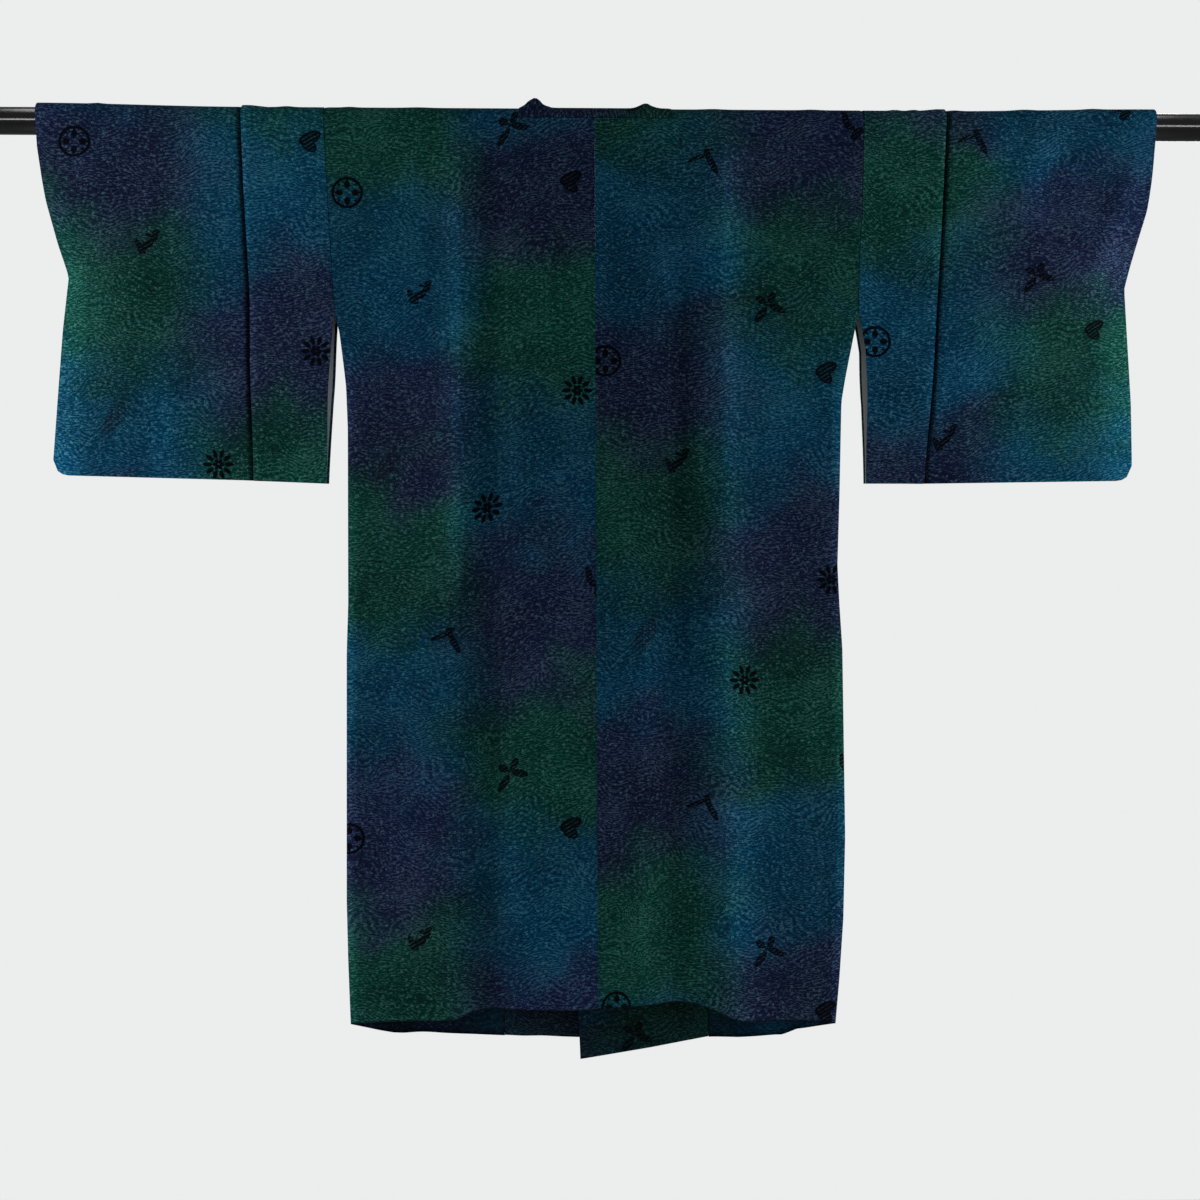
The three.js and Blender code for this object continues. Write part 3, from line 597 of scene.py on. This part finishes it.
    gap_shaded = node("Mix", blend, i0=float_gap_shade, i6=ground, i7=linear("#050a12"))
    bright = node("VectorMath", "MULTIPLY_ADD", i0=ground, i1=(3.0, 2.0, 1.6), i2=(0.037, 0.08, 0.092))
    dash_share = node("Math", "MULTIPLY", i0=floats, i1=0.62 * depth)
    share = node("Math", {"operation": "MULTIPLY_ADD", "use_clamp": True}, i0=knot,
                 i1=1.05 * depth, i2=dash_share)
    figured = node("Mix", blend, i0=share, i6=gap_shaded, i7=bright)
    dim = node("Mix", blend, i0=shade, i6=figured, i7=linear("#10101f"))
    inked = node("Math", "MULTIPLY", i0=ink, i1=0.4 + 0.57 * depth)
    colour = node("Mix", blend, i0=inked, i6=dim, i7=linear("#030408"))
    # The tone attribute is painted light and shade, and scales the colour.
    tone = node("Attribute", {"attribute_name": "tone"}).outputs["Fac"]
    painted_light_colour = node("VectorMath", "SCALE", i0=colour, Scale=tone)
    rough = node("MapRange", Value=floats, To_Min=0.7, To_Max=0.52)

    # Crepe crinkle and raised floats. The crinkle's real threads are 0.3 mm, drawn at 1.2 mm to show.
    crinkle = node("TexNoise", flat, Vector=figure, Scale=0.8, Detail=3)
    relief = node("Math", "MULTIPLY_ADD", i0=floats, i1=0.6, i2=crinkle)
    bump = node("Bump", Height=relief, Strength=0.35, Distance=0.0006)
    shader = node("BsdfPrincipled", Base_Color=painted_light_colour, Roughness=rough, IOR=1.5,
                  Specular_IOR_Level=0.04, Sheen_Weight=0.02, Sheen_Roughness=0.45,
                  Sheen_Tint=linear("#6aa8bd"), Normal=bump)
    node("OutputMaterial", Surface=shader)
    return material


silk = figured_silk("figured_silk_face", 1.0)
silk_wrong_side = figured_silk("figured_silk_wrong_side", 0.55)
BODY_LEVELS = [(0, 0), (CUFF_NOTCH, 26), (ARMHOLE_END, 5), (SIDE_SEAM_TOP, 12), (None, 96)]
NECK_CELLS = 18
BODY_CELLS = 40
BODY_FOOT = -1090  # the hem's usual height; its real height at each place comes from its table
HEM_START = 0.9955  # the hem's edge turns in over its last 3.4 mm
HEM_TURN = 2.0
# Painted shade: the hem's turned edge and the front's seam to its band are drawn darker, as recesses in
# shade.
HEM_PAINTED_SHADE = 0.15
SEAM_PAINTED_SHADE = 0.35
# Where each panel was cut from the bolt: across at x = 0, down at the back's top line, how far its weft rises
# towards the bolt's right edge, where it was drawn up, and how far its threads lean away from the back seam
# below. Then where the weft rises, across the bolt, and where the threads lean, in height and from the seam.
BODY_CUTS = {"left": (309, 928, 26, 0), "right": (0, -47.6, 0, 14)}
WEFT_RISE = (134, 275)
LEAN_FALL = (-300, -1050)
LEAN_REACH = (20, 110)
BODY_INNER_PAINTED_SHADE = 0.42  # painted shade on the inner side of the body, which sees little light


def body_panel(side):
    rows = cloth_rows(BODY_LEVELS, HEM_START)
    neck_row = next(i for i, row in enumerate(rows) if row["face"] == BEND and row["angle"] > NECK_BACK_ANGLE)
    rows.insert(neck_row, {"face": BEND, "angle": NECK_BACK_ANGLE})
    sign = side["sign"]
    neck_x = sign * (NECK_HALF + SEAM_GAP)
    shares = np.arange(NECK_CELLS + BODY_CELLS + 1)
    bolt_left, bolt_top, weft_rise, lean = BODY_CUTS[side["name"]]

    def column_x(face, z):
        centre = read(BODY_CENTRE, z) + sign * SEAM_GAP / 2
        inner = read(side["front_seam"], z) + sign * SEAM_GAP if face == FRONT else neck_x
        edge = read(side["body_edge"], z)
        near = centre + (neck_x - centre) * shares / NECK_CELLS
        away = inner + (edge - inner) * (shares - NECK_CELLS) / BODY_CELLS
        return np.where(shares < NECK_CELLS, near, away)

    made = []
    for row in rows:
        face = row["face"]
        if face == BEND:
            z = BEND_RADIUS * math.cos(math.radians(row["angle"]))
            x = column_x(BEND, z)
            roll = edge_roll(np.abs(x - x[-1]))
            outer, inner = bend_points(x, row["angle"], CLOTH + roll), bend_points(x, row["angle"], 0 * x)
            tone = 1.0
        else:
            hem = BACK_HEM if face == BACK else side["front_hem"]
            x, z = row_places(row, BODY_FOOT, lambda z: column_x(face, z), lambda x: read(hem, x))
            seam = x[0] if face == BACK else x[NECK_CELLS]
            roll = edge_roll(np.minimum(np.abs(x - x[-1]), np.abs(x - seam)))
            depth = body_depth(side, x, z)
            hem_edge = row["to"] is None and row["share"] == 1
            turned_in = HEM_TURN * hem_edge * ease(depth, CLOSED_DEPTH, HEM_TURN + 1)
            out = depth + cloth_drape(face, x, z, depth) - turned_in
            outer, inner = hanging_points(face, x, z, out + CLOTH + roll), hanging_points(face, x, z, out)
            # Painted sheen along the body's own sides below the armholes.
            near_side = 1 - ease(np.abs(x - x[-1]), 0, SIDE_PAINTED_SHEEN_WIDTH)
            painted_sheen = SIDE_PAINTED_SHEEN * near_side * ease(z, ARMHOLE_END, SIDE_SEAM_TOP)
            # The tone here is painted light: highlights and shade on the folds, sheen on the sides, and
            # painted shade at the hem's edge and the front seam.
            tone = (fold_painted_light(face, x, z) + painted_sheen) * (HEM_PAINTED_SHADE if hem_edge else 1)
            if face == FRONT:
                tone[NECK_CELLS] *= SEAM_PAINTED_SHADE
        dye = bolt_top + cloth_length(row, z + 0 * x)
        down = dye + weft_rise * ease(x + bolt_left, *WEFT_RISE)
        across = x + bolt_left - lean * ease(z, *LEAN_FALL) * (1 - ease(np.abs(x), *LEAN_REACH))
        bolt = np.stack([across, down, dye], axis=-1)
        made.append({"outer": outer, "inner": inner, "bolt": bolt, "tone": tone})
    panel = wall(f"panel_{side['name']}", made, lambda r, c: c >= NECK_CELLS or r < neck_row,
                 [silk, silk_wrong_side], inner_painted_shade=BODY_INNER_PAINTED_SHADE)
    hang_silk(panel, f"body_{side['name']}")
    return panel


panels = [body_panel(side) for side in (LEFT, RIGHT)]


# Sleeves
# One width of the same silk each, laid over the rod, closed along the bottom and below the cuff, and open
# beside the body. A narrow tuck runs all the way along it. The inside is lined with plain pale silk.
TUCK = 10  # cloth hidden under the tuck
TUCK_STEP = CLOTH + SEAM_GAP
TUCK_RUNOUT = 30
SLEEVE_CORNER = 18
CUFF_FLAT = 95
CUFF_CLOSING = -70  # from here down the cuff's two edges come together
SLEEVE_FLAT = 150
CUFF_STAND = 3.5
FRONT_PEEP = 3  # the front's free edge shows this far past the back's, from 10 to 110 mm below the armhole
PEEP_FALL = (ARMHOLE_END - 10, ARMHOLE_END - 110)
SLEEVE_PAINTED_LIGHT = 1.28  # painted light: the sleeves catch more light, and are drawn brighter than the body
CUFF_PAINTED_SHEEN = 1.2  # painted sheen gained along the sleeve's outer edge, and how far in
CUFF_PAINTED_SHEEN_WIDTH = 58
CUFF_PAINTED_SHEEN_START = -60

LEFT["sleeve_outer"] = [(20, -669), (-36, -665.6), (-100, -656), (-150, -645), (-188, -633.6),
                        (-252, -640.7), (-330, -646.5), (-415, -652.6), (-440, -652.6)]
LEFT["sleeve_inner"] = [(-231, -313.1), (-336, -321.1), (-440, -324.8)]
LEFT["tuck"] = [(20, -424.7), (-82, -420.5), (-214, -412.8), (-440, -412)]
LEFT["sleeve_bottom"] = [(-653, -426), (-425, -432), (-324, -436)]
RIGHT["sleeve_outer"] = [(20, 679.2), (-13, 677.3), (-64, 672.4), (-106, 667.5), (-160, 654.2),
                         (-198, 644.8), (-256, 648.1), (-337, 652.9), (-402, 654), (-440, 654)]
RIGHT["sleeve_inner"] = [(-231, 317), (-273, 325), (-338, 328.7), (-440, 329.3)]
RIGHT["tuck"] = [(20, 423.6), (-48, 420.6), (-145, 415.8), (-225, 410.8), (-321, 406), (-440, 399.4)]
RIGHT["sleeve_bottom"] = [(329, -435), (400, -435), (655, -431)]

SLEEVE_LEVELS = [(0, 0), (CUFF_NOTCH, 26), (ARMHOLE_END, 6), (None, 34)]
SLEEVE_FOOT = -432
OUTER_CELLS = 40
INNER_CELLS = 13
TURNED_CELL = 0.6  # the last cell is the turned edge, and only this wide beside the others
# Where each sleeve was cut from the bolt: across at x = 0 and down at the back's top line, for its parts
# outside and inside the tuck. Dye shift is how much further down its clouds lie against the motifs, and
# pulled is how much the cuff's end is drawn up by its drag folds.
SLEEVE_CUTS = {
    "left": {"outer_left": 633, "outer_top": 212, "inner_left": 621, "inner_top": 225,
             "dye_shift": 0, "pulled": 0},
    "right": {"outer_left": -325.5, "outer_top": -22, "inner_left": -324.6, "inner_top": -23.6,
              "dye_shift": 156, "pulled": 0.13},
}

# Both skins' columns through the tuck. The cloth dips before the tuck's visible fold, whose own edge is
# round, so a dark line lies between them. At is the distance past the fold towards the body, up is the height
# over the base, and tone is painted light: painted shade in the recess and a painted highlight on the fold's
# edge.
TUCK_DIP = 5
ON_ROD_DIP = 0.08  # the share of the dip that there is room for over the rod
DIP_FALL = (0, -26)  # below the rod the dip comes back over this height
DIP_DEPTH = (2, 9)  # and it goes again where the sleeve's half depth is less than this
TUCK_FIELDS = ("outer_at", "outer_up", "inner_at", "inner_up", "tone")
TUCK_COLUMNS = [
    (-7, CLOTH, -7, 0, 0.85),
    (-3.8, CLOTH - 0.8, -3.8, -0.8, 0.3),
    (-0.6, CLOTH - TUCK_DIP, -0.6, -TUCK_DIP, 0.05),
    (TUCK - CLOTH, CLOTH - TUCK_DIP, TUCK, -TUCK_DIP, 0.05),
    (TUCK - CLOTH, TUCK_STEP, TUCK, TUCK_STEP + CLOTH, 0.05),
    (0.8, TUCK_STEP, 1.4, TUCK_STEP + CLOTH, 0.05),
    (0, TUCK_STEP + 0.6, 1.0, TUCK_STEP + CLOTH + 0.1, 0.15),
    (0, 2 * TUCK_STEP + CLOTH - 0.6, 1.0, 2 * TUCK_STEP - 0.1, 0.8),
    (0.8, 2 * TUCK_STEP + CLOTH, 1.4, 2 * TUCK_STEP, 1.25),
    (TUCK, 2 * TUCK_STEP + CLOTH, TUCK, 2 * TUCK_STEP, 1),
    (TUCK_RUNOUT, CLOTH, TUCK_RUNOUT, 0, 1),
]
THROUGH_TUCK = dict(zip(TUCK_FIELDS, np.transpose(TUCK_COLUMNS)))


def pale_lining():
    """Plain pale grey lining silk, which shows only in the sleeves' open edges."""
    material, node = new_material("pale_lining_silk")
    bolt = node("Attribute", {"attribute_name": "bolt"}).outputs["Vector"]
    slub = node("Mapping", Vector=bolt, Scale=(1.1, 0.12, 0))
    threads = node("TexNoise", {"noise_dimensions": "2D"}, Vector=slub, Detail=3)
    tone = node("ValToRGB", Fac=threads)
    tone.color_ramp.elements[0].color = linear("#cfd2d4")
    tone.color_ramp.elements[1].color = linear("#e2e4e5")
    bump = node("Bump", Height=threads, Strength=0.2, Distance=0.0004)
    shader = node("BsdfPrincipled", Base_Color=tone, Roughness=0.5, IOR=1.5, Sheen_Weight=0.15,
                  Normal=bump)
    node("OutputMaterial", Surface=shader)
    return material


lining = pale_lining()


def sleeve_foot(side, x):
    """The sleeve's bottom edge, with its outer corner rounded."""
    outer = side["sleeve_outer"][-1][1]
    run = SLEEVE_CORNER - np.clip(np.abs(outer - x), 0, SLEEVE_CORNER)
    return read(side["sleeve_bottom"], x) + SLEEVE_CORNER - np.sqrt(SLEEVE_CORNER**2 - run**2)


def sleeve_inner_edge(side, face, z):
    """The edge that is sewn to the body, and hangs free below the armhole."""
    sewn = read(side["body_edge"], z) + side["sign"] * SEAM_GAP
    peep = FRONT_PEEP * ease(z, *PEEP_FALL) if face == FRONT else 0
    free = read(side["sleeve_inner"], z) - side["sign"] * peep
    return np.where(z > ARMHOLE_END, sewn, free)


def sleeve_depth(side, x, z):
    from_cuff = np.abs(read(side["sleeve_outer"], z) - x)
    from_foot = z - sleeve_foot(side, x)
    cuff_closed = ease(z, CUFF_CLOSING, CUFF_NOTCH)
    open_share = (1 + (ease(from_cuff, 0, CUFF_FLAT) - 1) * cuff_closed) * ease(from_foot, 0, SLEEVE_FLAT)
    return CLOSED_DEPTH + (BEND_RADIUS - CLOSED_DEPTH) * open_share


def sleeve(side):
    rows = cloth_rows(SLEEVE_LEVELS)
    towards_body = -side["sign"]
    outer_shares = np.arange(OUTER_CELLS) / OUTER_CELLS
    inner_shares = np.append(np.arange(1, INNER_CELLS) / (INNER_CELLS - 1 + TURNED_CELL), 1)
    cut = SLEEVE_CUTS[side["name"]]
    pull = np.concatenate([1 - outer_shares, np.zeros(len(TUCK_COLUMNS) + INNER_CELLS)])
    past_tuck = np.arange(len(pull)) >= OUTER_CELLS + len(TUCK_COLUMNS) // 2
    bolt_left = np.where(past_tuck, cut["inner_left"], cut["outer_left"])
    bolt_top = np.where(past_tuck, cut["inner_top"], cut["outer_top"])

    def column_x(face, z, skin):
        fold = read(side["tuck"], z)
        z = z + np.zeros(OUTER_CELLS + len(TUCK_COLUMNS) + INNER_CELLS)
        fold = fold + 0 * z
        edge = read(side["sleeve_outer"], z)[:OUTER_CELLS]
        start = fold[:OUTER_CELLS] + towards_body * THROUGH_TUCK["outer_at"][0]
        outside = edge + (start - edge) * outer_shares
        tuck = fold[OUTER_CELLS:-INNER_CELLS] + towards_body * THROUGH_TUCK[skin + "_at"]
        inside_start = fold[-INNER_CELLS:] + towards_body * TUCK_RUNOUT
        inside_edge = sleeve_inner_edge(side, face, z)[-INNER_CELLS:]
        return np.concatenate([outside, tuck, inside_start + (inside_edge - inside_start) * inner_shares])

    def out_of(skin):
        base = CLOTH if skin == "outer" else 0.0
        tuck = THROUGH_TUCK[skin + "_up"]
        return np.concatenate([np.full(OUTER_CELLS, base), tuck, np.full(INNER_CELLS, base)])

    made = []
    dip = np.minimum(out_of("inner"), 0)
    tuck_painted_light = np.concatenate([np.ones(OUTER_CELLS), THROUGH_TUCK["tone"], np.ones(INNER_CELLS)])
    for row in rows:
        face = row["face"]
        entry = {"tone": SLEEVE_PAINTED_LIGHT * tuck_painted_light}
        for skin in ("inner", "outer"):
            out = out_of(skin)
            if face == BEND:
                turn = math.radians(row["angle"])
                x = column_x(BEND, BEND_RADIUS * math.cos(turn), skin)
                out = out - dip * (1 - ON_ROD_DIP)
                cuff = ease(np.abs(x), abs(read(side["tuck"], 0)), abs(side["sleeve_outer"][0][1]))
                entry[skin] = bend_points(x, row["angle"], out + CUFF_STAND * cuff * math.cos(turn))
                z = 0 * x
            else:
                x, z = row_places(row, SLEEVE_FOOT, lambda z: column_x(face, z, skin),
                                  lambda x: sleeve_foot(side, x))
                depth = sleeve_depth(side, x, z)
                clear = (ON_ROD_DIP + (1 - ON_ROD_DIP) * ease(z, *DIP_FALL)) * ease(depth, *DIP_DEPTH)
                out = out - dip * (1 - clear)
                entry[skin] = hanging_points(face, x, z, depth + out + cloth_drape(face, x, z, depth))
        if face != BEND:
            # Painted sheen along the sleeve's outer edge, where it curves away and catches the light.
            cuff = CUFF_PAINTED_SHEEN * (1 - ease(np.abs(x - x[0]), 0, CUFF_PAINTED_SHEEN_WIDTH))
            cuff = cuff * ease(z, CUFF_PAINTED_SHEEN_START, ARMHOLE_END)
            entry["tone"] = SLEEVE_PAINTED_LIGHT * tuck_painted_light * (fold_painted_light(face, x, z) + cuff)
        length = cloth_length(row, z)
        down = bolt_top + length * (1 + cut["pulled"] * pull)
        entry["bolt"] = np.stack([x + bolt_left, down, down - cut["dye_shift"]], axis=-1)
        made.append(entry)
    cloth = wall(f"sleeve_cloth_{side['name']}", made, lambda r, c: True, [silk, lining], trim=1)
    hang_silk(cloth, f"sleeve_{side['name']}")
    return cloth


sleeves = [sleeve(side) for side in (LEFT, RIGHT)]


# Front bands
# A strip of the same silk, folded double and sewn to each front. The left one laps outside the right one,
# and the right one's lower corner hangs below the back hem.
DOUBLE_CLOTH = 2.0
FRAME_WIDTH = NECK_HALF - FRAME_INNER
BAND_TOP = FRAME_FOOT - FRAME_WIDTH - SEAM_GAP
BAND_FOOT = -1110
BAND_ROWS = 110
BAND_CELLS = 24
BAND_CUTS = {"left": (268, -20), "right": (158.5, -934)}  # across at x = 0, and down at the shoulder
BAND_INNER_PAINTED_SHADE = 0.3  # painted shade on its inner side, which faces the inside of the coat, where little light comes
BAND_RIPPLE = 0.5  # double cloth is stiffer and lies flatter
FREE_EDGE_EASE = 1  # its free edge is turned a little softer than a sewn one


def double_row(cut, x, z, out, roll, tone=1.0):
    """A row of double cloth on the front: where its two sides lie, and where it was cut from the bolt."""
    return {"outer": hanging_points(FRONT, x, z, out + DOUBLE_CLOTH + roll),
            "inner": hanging_points(FRONT, x, z, out),
            "bolt": np.stack([cut[0] + x, cut[1] - z, cut[1] - z], axis=-1), "tone": tone}


def front_band(side):
    rows = [{"from": BAND_TOP, "to": BAND_TOP, "share": 0}]
    rows += [{"from": BAND_TOP, "to": None, "share": (i + 1) / BAND_ROWS} for i in range(BAND_ROWS)]
    shares = np.arange(BAND_CELLS + 1) / BAND_CELLS

    def column_x(z):
        seam = read(side["front_seam"], z)
        return seam + (read(side["band_edge"], z) - seam) * shares

    made = []
    for row in rows:
        x, z = row_places(row, BAND_FOOT, column_x, lambda x: read(side["front_hem"], x))
        out = BEND_RADIUS + left_lift(side, x, z) + line_rise(FOLDS, FRONT, x, z)
        out = out + BAND_RIPPLE * ripple(FRONT, x, z)
        roll = edge_roll(np.minimum(np.abs(x - x[0]), np.abs(x - x[-1]) + FREE_EDGE_EASE))
        made.append(double_row(BAND_CUTS[side["name"]], x, z, out, roll, fold_painted_light(FRONT, x, z)))
    band = wall(f"band_{side['name']}", made, lambda r, c: True, [silk, silk], inner_painted_shade=BAND_INNER_PAINTED_SHADE)
    hang_silk(band, f"front_band_{side['name']}")


front_band(LEFT)
front_band(RIGHT)


# Collar frame
# A double strip of the same silk behind the neck, over the rod and down both sides of the square neck.
# Its two corners stand up where the neck begins. Two feet, mitred to it, close the square on the bands.
NECK_STRIP_ANGLE = 25  # degrees over the rod's top to the front, where the strip behind the neck ends
NECK_STRIP_ROWS = 22
SIDE_ANGLES = (32, 90)  # from there on only the square's two sides go on
SIDE_ROWS = 9
STRIP_ROLL = (-0.6, 14)  # the strip's edge behind the neck turns in: by how much, and over how many degrees
# Bumps and the small creases that run down from them: x, rise, half width, angle, spread
COLLAR_BUMPS = [(-73, 11.5, 11, -8, 42), (61, 6, 10, -6, 42), (-63, -2.6, 2.6, -38, 26),
                (-57, 1.0, 2.6, -42, 26), (-82, 1.2, 2.4, -30, 24), (68, -1.6, 2.4, -34, 24)]
COLLAR_TONE = 0.7
FRAME_RIPPLE = 0.3
FRAME_HANGING_ROWS = 30
FRAME_CELLS = 18
# Where the pieces were cut from the bolt, across and down: the strip behind the neck, its sides, the feet
NECK_CUT = (100, 320)
SIDE_CUT = (330, 560)
FOOT_CUT = (200, 640)
FOOT_REACH = 58  # each foot runs on past the middle to here, as far as its own band does
FOOT_ROWS = 13
FOOT_CELLS = 30


def collar_bump(x, angle):
    rise = 0 * x
    for middle, height, half, bump_angle, spread in COLLAR_BUMPS:
        rise = rise + height * np.exp(-(((x - middle) / half) ** 2) - ((angle - bump_angle) / spread) ** 2)
    return rise


def collar_frame():
    side_columns = np.linspace(NECK_HALF, FRAME_INNER, FRAME_CELLS // 2 + 1)
    back_columns = np.linspace(FRAME_INNER, -FRAME_INNER, FRAME_CELLS * 2 + 1)[1:-1]
    x = np.concatenate([-side_columns, -back_columns, side_columns[::-1]])
    angles = [*np.linspace(NECK_BACK_ANGLE + 2, NECK_STRIP_ANGLE, NECK_STRIP_ROWS),
              *np.linspace(*SIDE_ANGLES, SIDE_ROWS)]
    strip_rows = NECK_STRIP_ROWS - 1
    rolled = edge_roll(np.abs(np.abs(x) - NECK_HALF))
    made = []
    for angle in angles:
        bump = collar_bump(x, angle)
        edge = STRIP_ROLL[0] * (1 - ease(angle, NECK_BACK_ANGLE, NECK_BACK_ANGLE + STRIP_ROLL[1])) + rolled
        length = BEND_RADIUS * math.radians(angle)
        bolt = np.stack([NECK_CUT[0] + length + 0 * x, NECK_CUT[1] + x, NECK_CUT[1] + x], axis=-1)
        made.append({"outer": bend_points(x, angle, DOUBLE_CLOTH + bump + edge),
                     "inner": bend_points(x, angle, bump), "bolt": bolt, "tone": COLLAR_TONE})
    mitre = FRAME_FOOT - (np.abs(x) - FRAME_INNER)
    for share in np.arange(1, FRAME_HANGING_ROWS + 1) / FRAME_HANGING_ROWS:
        z = mitre * share
        out = BEND_RADIUS + np.where(x < 0, left_lift(LEFT, x, z), 0) + FRAME_RIPPLE * ripple(FRONT, x, z)
        made.append(double_row(SIDE_CUT, x, z, out, rolled))
    middles = np.abs(x[:-1] + x[1:]) / 2
    strip = wall("collar_strip", made, lambda r, c: r < strip_rows or middles[c] > FRAME_INNER, [silk, silk])
    hang_silk(strip, "collar_frame")


def frame_foot(side):
    sign = side["sign"]
    made = []
    for down in np.linspace(0, FRAME_WIDTH, FOOT_ROWS):
        corner = sign * (FRAME_INNER + down - 1.5 * SEAM_GAP)
        x = corner + (-sign * FOOT_REACH - corner) * np.arange(FOOT_CELLS + 1) / FOOT_CELLS
        z = FRAME_FOOT - down + 0 * x
        out = BEND_RADIUS + left_lift(side, x, z) + FRAME_RIPPLE * ripple(FRONT, x, z)
        roll = edge_roll(np.minimum(down, FRAME_WIDTH - down) + 0 * x)
        made.append(double_row(FOOT_CUT, x, z, out, roll))
    foot = wall(f"foot_{side['name']}", made, lambda r, c: True, [silk, silk])
    hang_silk(foot, f"frame_foot_{side['name']}")


collar_frame()
frame_foot(LEFT)
frame_foot(RIGHT)


# Snaps
# Three press fasteners, each covered with the same silk, closed between the two front layers.
# They are hidden there, and they keep their plain turned shapes.


def covered_snap_silk():
    """The dark ground of the same silk, drawn tight over a metal snap: no figure fits on so small a disc."""
    material, node = new_material("snap_cover_silk")
    place = node("TexCoord").outputs["Object"]
    threads = node("TexNoise", Vector=place, Scale=900, Detail=2)
    tone = node("ValToRGB", Fac=threads)
    tone.color_ramp.elements[0].color = linear("#0c1220")
    tone.color_ramp.elements[1].color = linear("#1c2740")
    bump = node("Bump", Height=threads, Strength=0.3, Distance=0.0004)
    shader = node("BsdfPrincipled", Base_Color=tone, Roughness=0.6, IOR=1.5, Sheen_Weight=0.2,
                  Normal=bump)
    node("OutputMaterial", Surface=shader)
    return material


snap_silk = covered_snap_silk()
for name in ("snap_frame_left", "snap_frame_right", "snap_front"):
    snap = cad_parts[name]
    snap.data.materials.clear()
    snap.data.materials.append(snap_silk)
    snap.data.set_sharp_from_angle(angle=math.radians(TURNED_SHARP))


# Floor and light
# A plain pale floor under the coat, a pale room all round it, and broad soft lamps. The room is bright to
# look at and dim as a light, so that the lamps shape the folds.
FLOOR_LEVEL = -1620
FLOOR_CORNERS = [(-1250, -1400), (1250, -1400), (1250, 730), (-1250, 730)]


def pale_floor():
    """Matt pale grey paint with a faint mottle, so that the floor isn't one flat tone."""
    material, node = new_material("pale_floor")
    place = node("TexCoord").outputs["Object"]
    mottle = node("TexNoise", Vector=place, Scale=6, Detail=3)
    tone = node("ValToRGB", Fac=mottle)
    tone.color_ramp.elements[0].color = linear("#dcdedf")
    tone.color_ramp.elements[1].color = linear("#e6e8e9")
    shader = node("BsdfPrincipled", Base_Color=tone, Roughness=0.7)
    node("OutputMaterial", Surface=shader)
    return material


floor = new_object("floor", [(x, y, FLOOR_LEVEL) for x, y in FLOOR_CORNERS], [(0, 1, 2, 3)], [pale_floor()])

world = bpy.data.worlds.new("pale_room")
world.use_nodes = True
room = world.node_tree
seen_wall = room.nodes["Background"]
seen_wall.inputs["Color"].default_value = linear("#eceded")
dim_room = add_node(room, "Background", Color=linear("#eceded"), Strength=0.2)
looked_at = add_node(room, "LightPath").outputs["Is Camera Ray"]
mixed = add_node(room, "MixShader", i0=looked_at, i1=dim_room, i2=seen_wall)
room.links.new(mixed.outputs[0], room.nodes["World Output"].inputs["Surface"])
bpy.context.scene.world = world
bpy.context.scene.view_settings.view_transform = "Standard"


def soft_lamp(name, place, aim, size, power):
    lamp = bpy.data.lights.new(name, "AREA")
    lamp.shape = "RECTANGLE"
    lamp.size, lamp.size_y = size
    lamp.energy = power
    made = bpy.data.objects.new(name, lamp)
    made.location = place
    made.rotation_euler = (Vector(aim) - Vector(place)).to_track_quat("-Z", "Y").to_euler()
    made.visible_camera = False
    bpy.context.scene.collection.objects.link(made)
    return made


# Each side lamp is flagged off at the back seam and lights its own half, as a photographer sets them:
# the folds turn from light to dark away from either side.
left_lamp = soft_lamp("left_lamp", (-2.0, -1.45, 0.0), (-0.35, 0, -0.5), (1.0, 1.7), 20)
right_lamp = soft_lamp("right_lamp", (2.05, -1.45, 0.0), (0.35, 0, -0.5), (1.0, 1.7), 18)
soft_lamp("rear_lamp", (0.9, 2.4, 0.9), (0, 0, -0.5), (1.8, 1.6), 40)
# A long strip lamp puts the bright line on the rail, and one overhead lights the rail and the floor.
strip_lamp = soft_lamp("strip_lamp", (0, -2.5, -0.2), (0, 0, 0), (4.4, 0.28), 55)
top_lamp = soft_lamp("top_lamp", (0, -0.4, 1.6), (0, -0.35, -1.6), (2.6, 1.2), 45)
for lamp, pieces, state in (
    (left_lamp, (panels[1], sleeves[1], rod), "EXCLUDE"),
    (right_lamp, (panels[0], sleeves[0], rod), "EXCLUDE"),
    (strip_lamp, (rod,), "INCLUDE"),
    (top_lamp, (rod, floor), "INCLUDE"),
):
    linked = bpy.data.collections.new(lamp.name + "_link")
    lamp.light_linking.receiver_collection = linked
    for piece in pieces:
        linked.objects.link(piece)
    for row in linked.collection_objects:
        row.light_linking.link_state = state

bpy.context.view_layer.update()
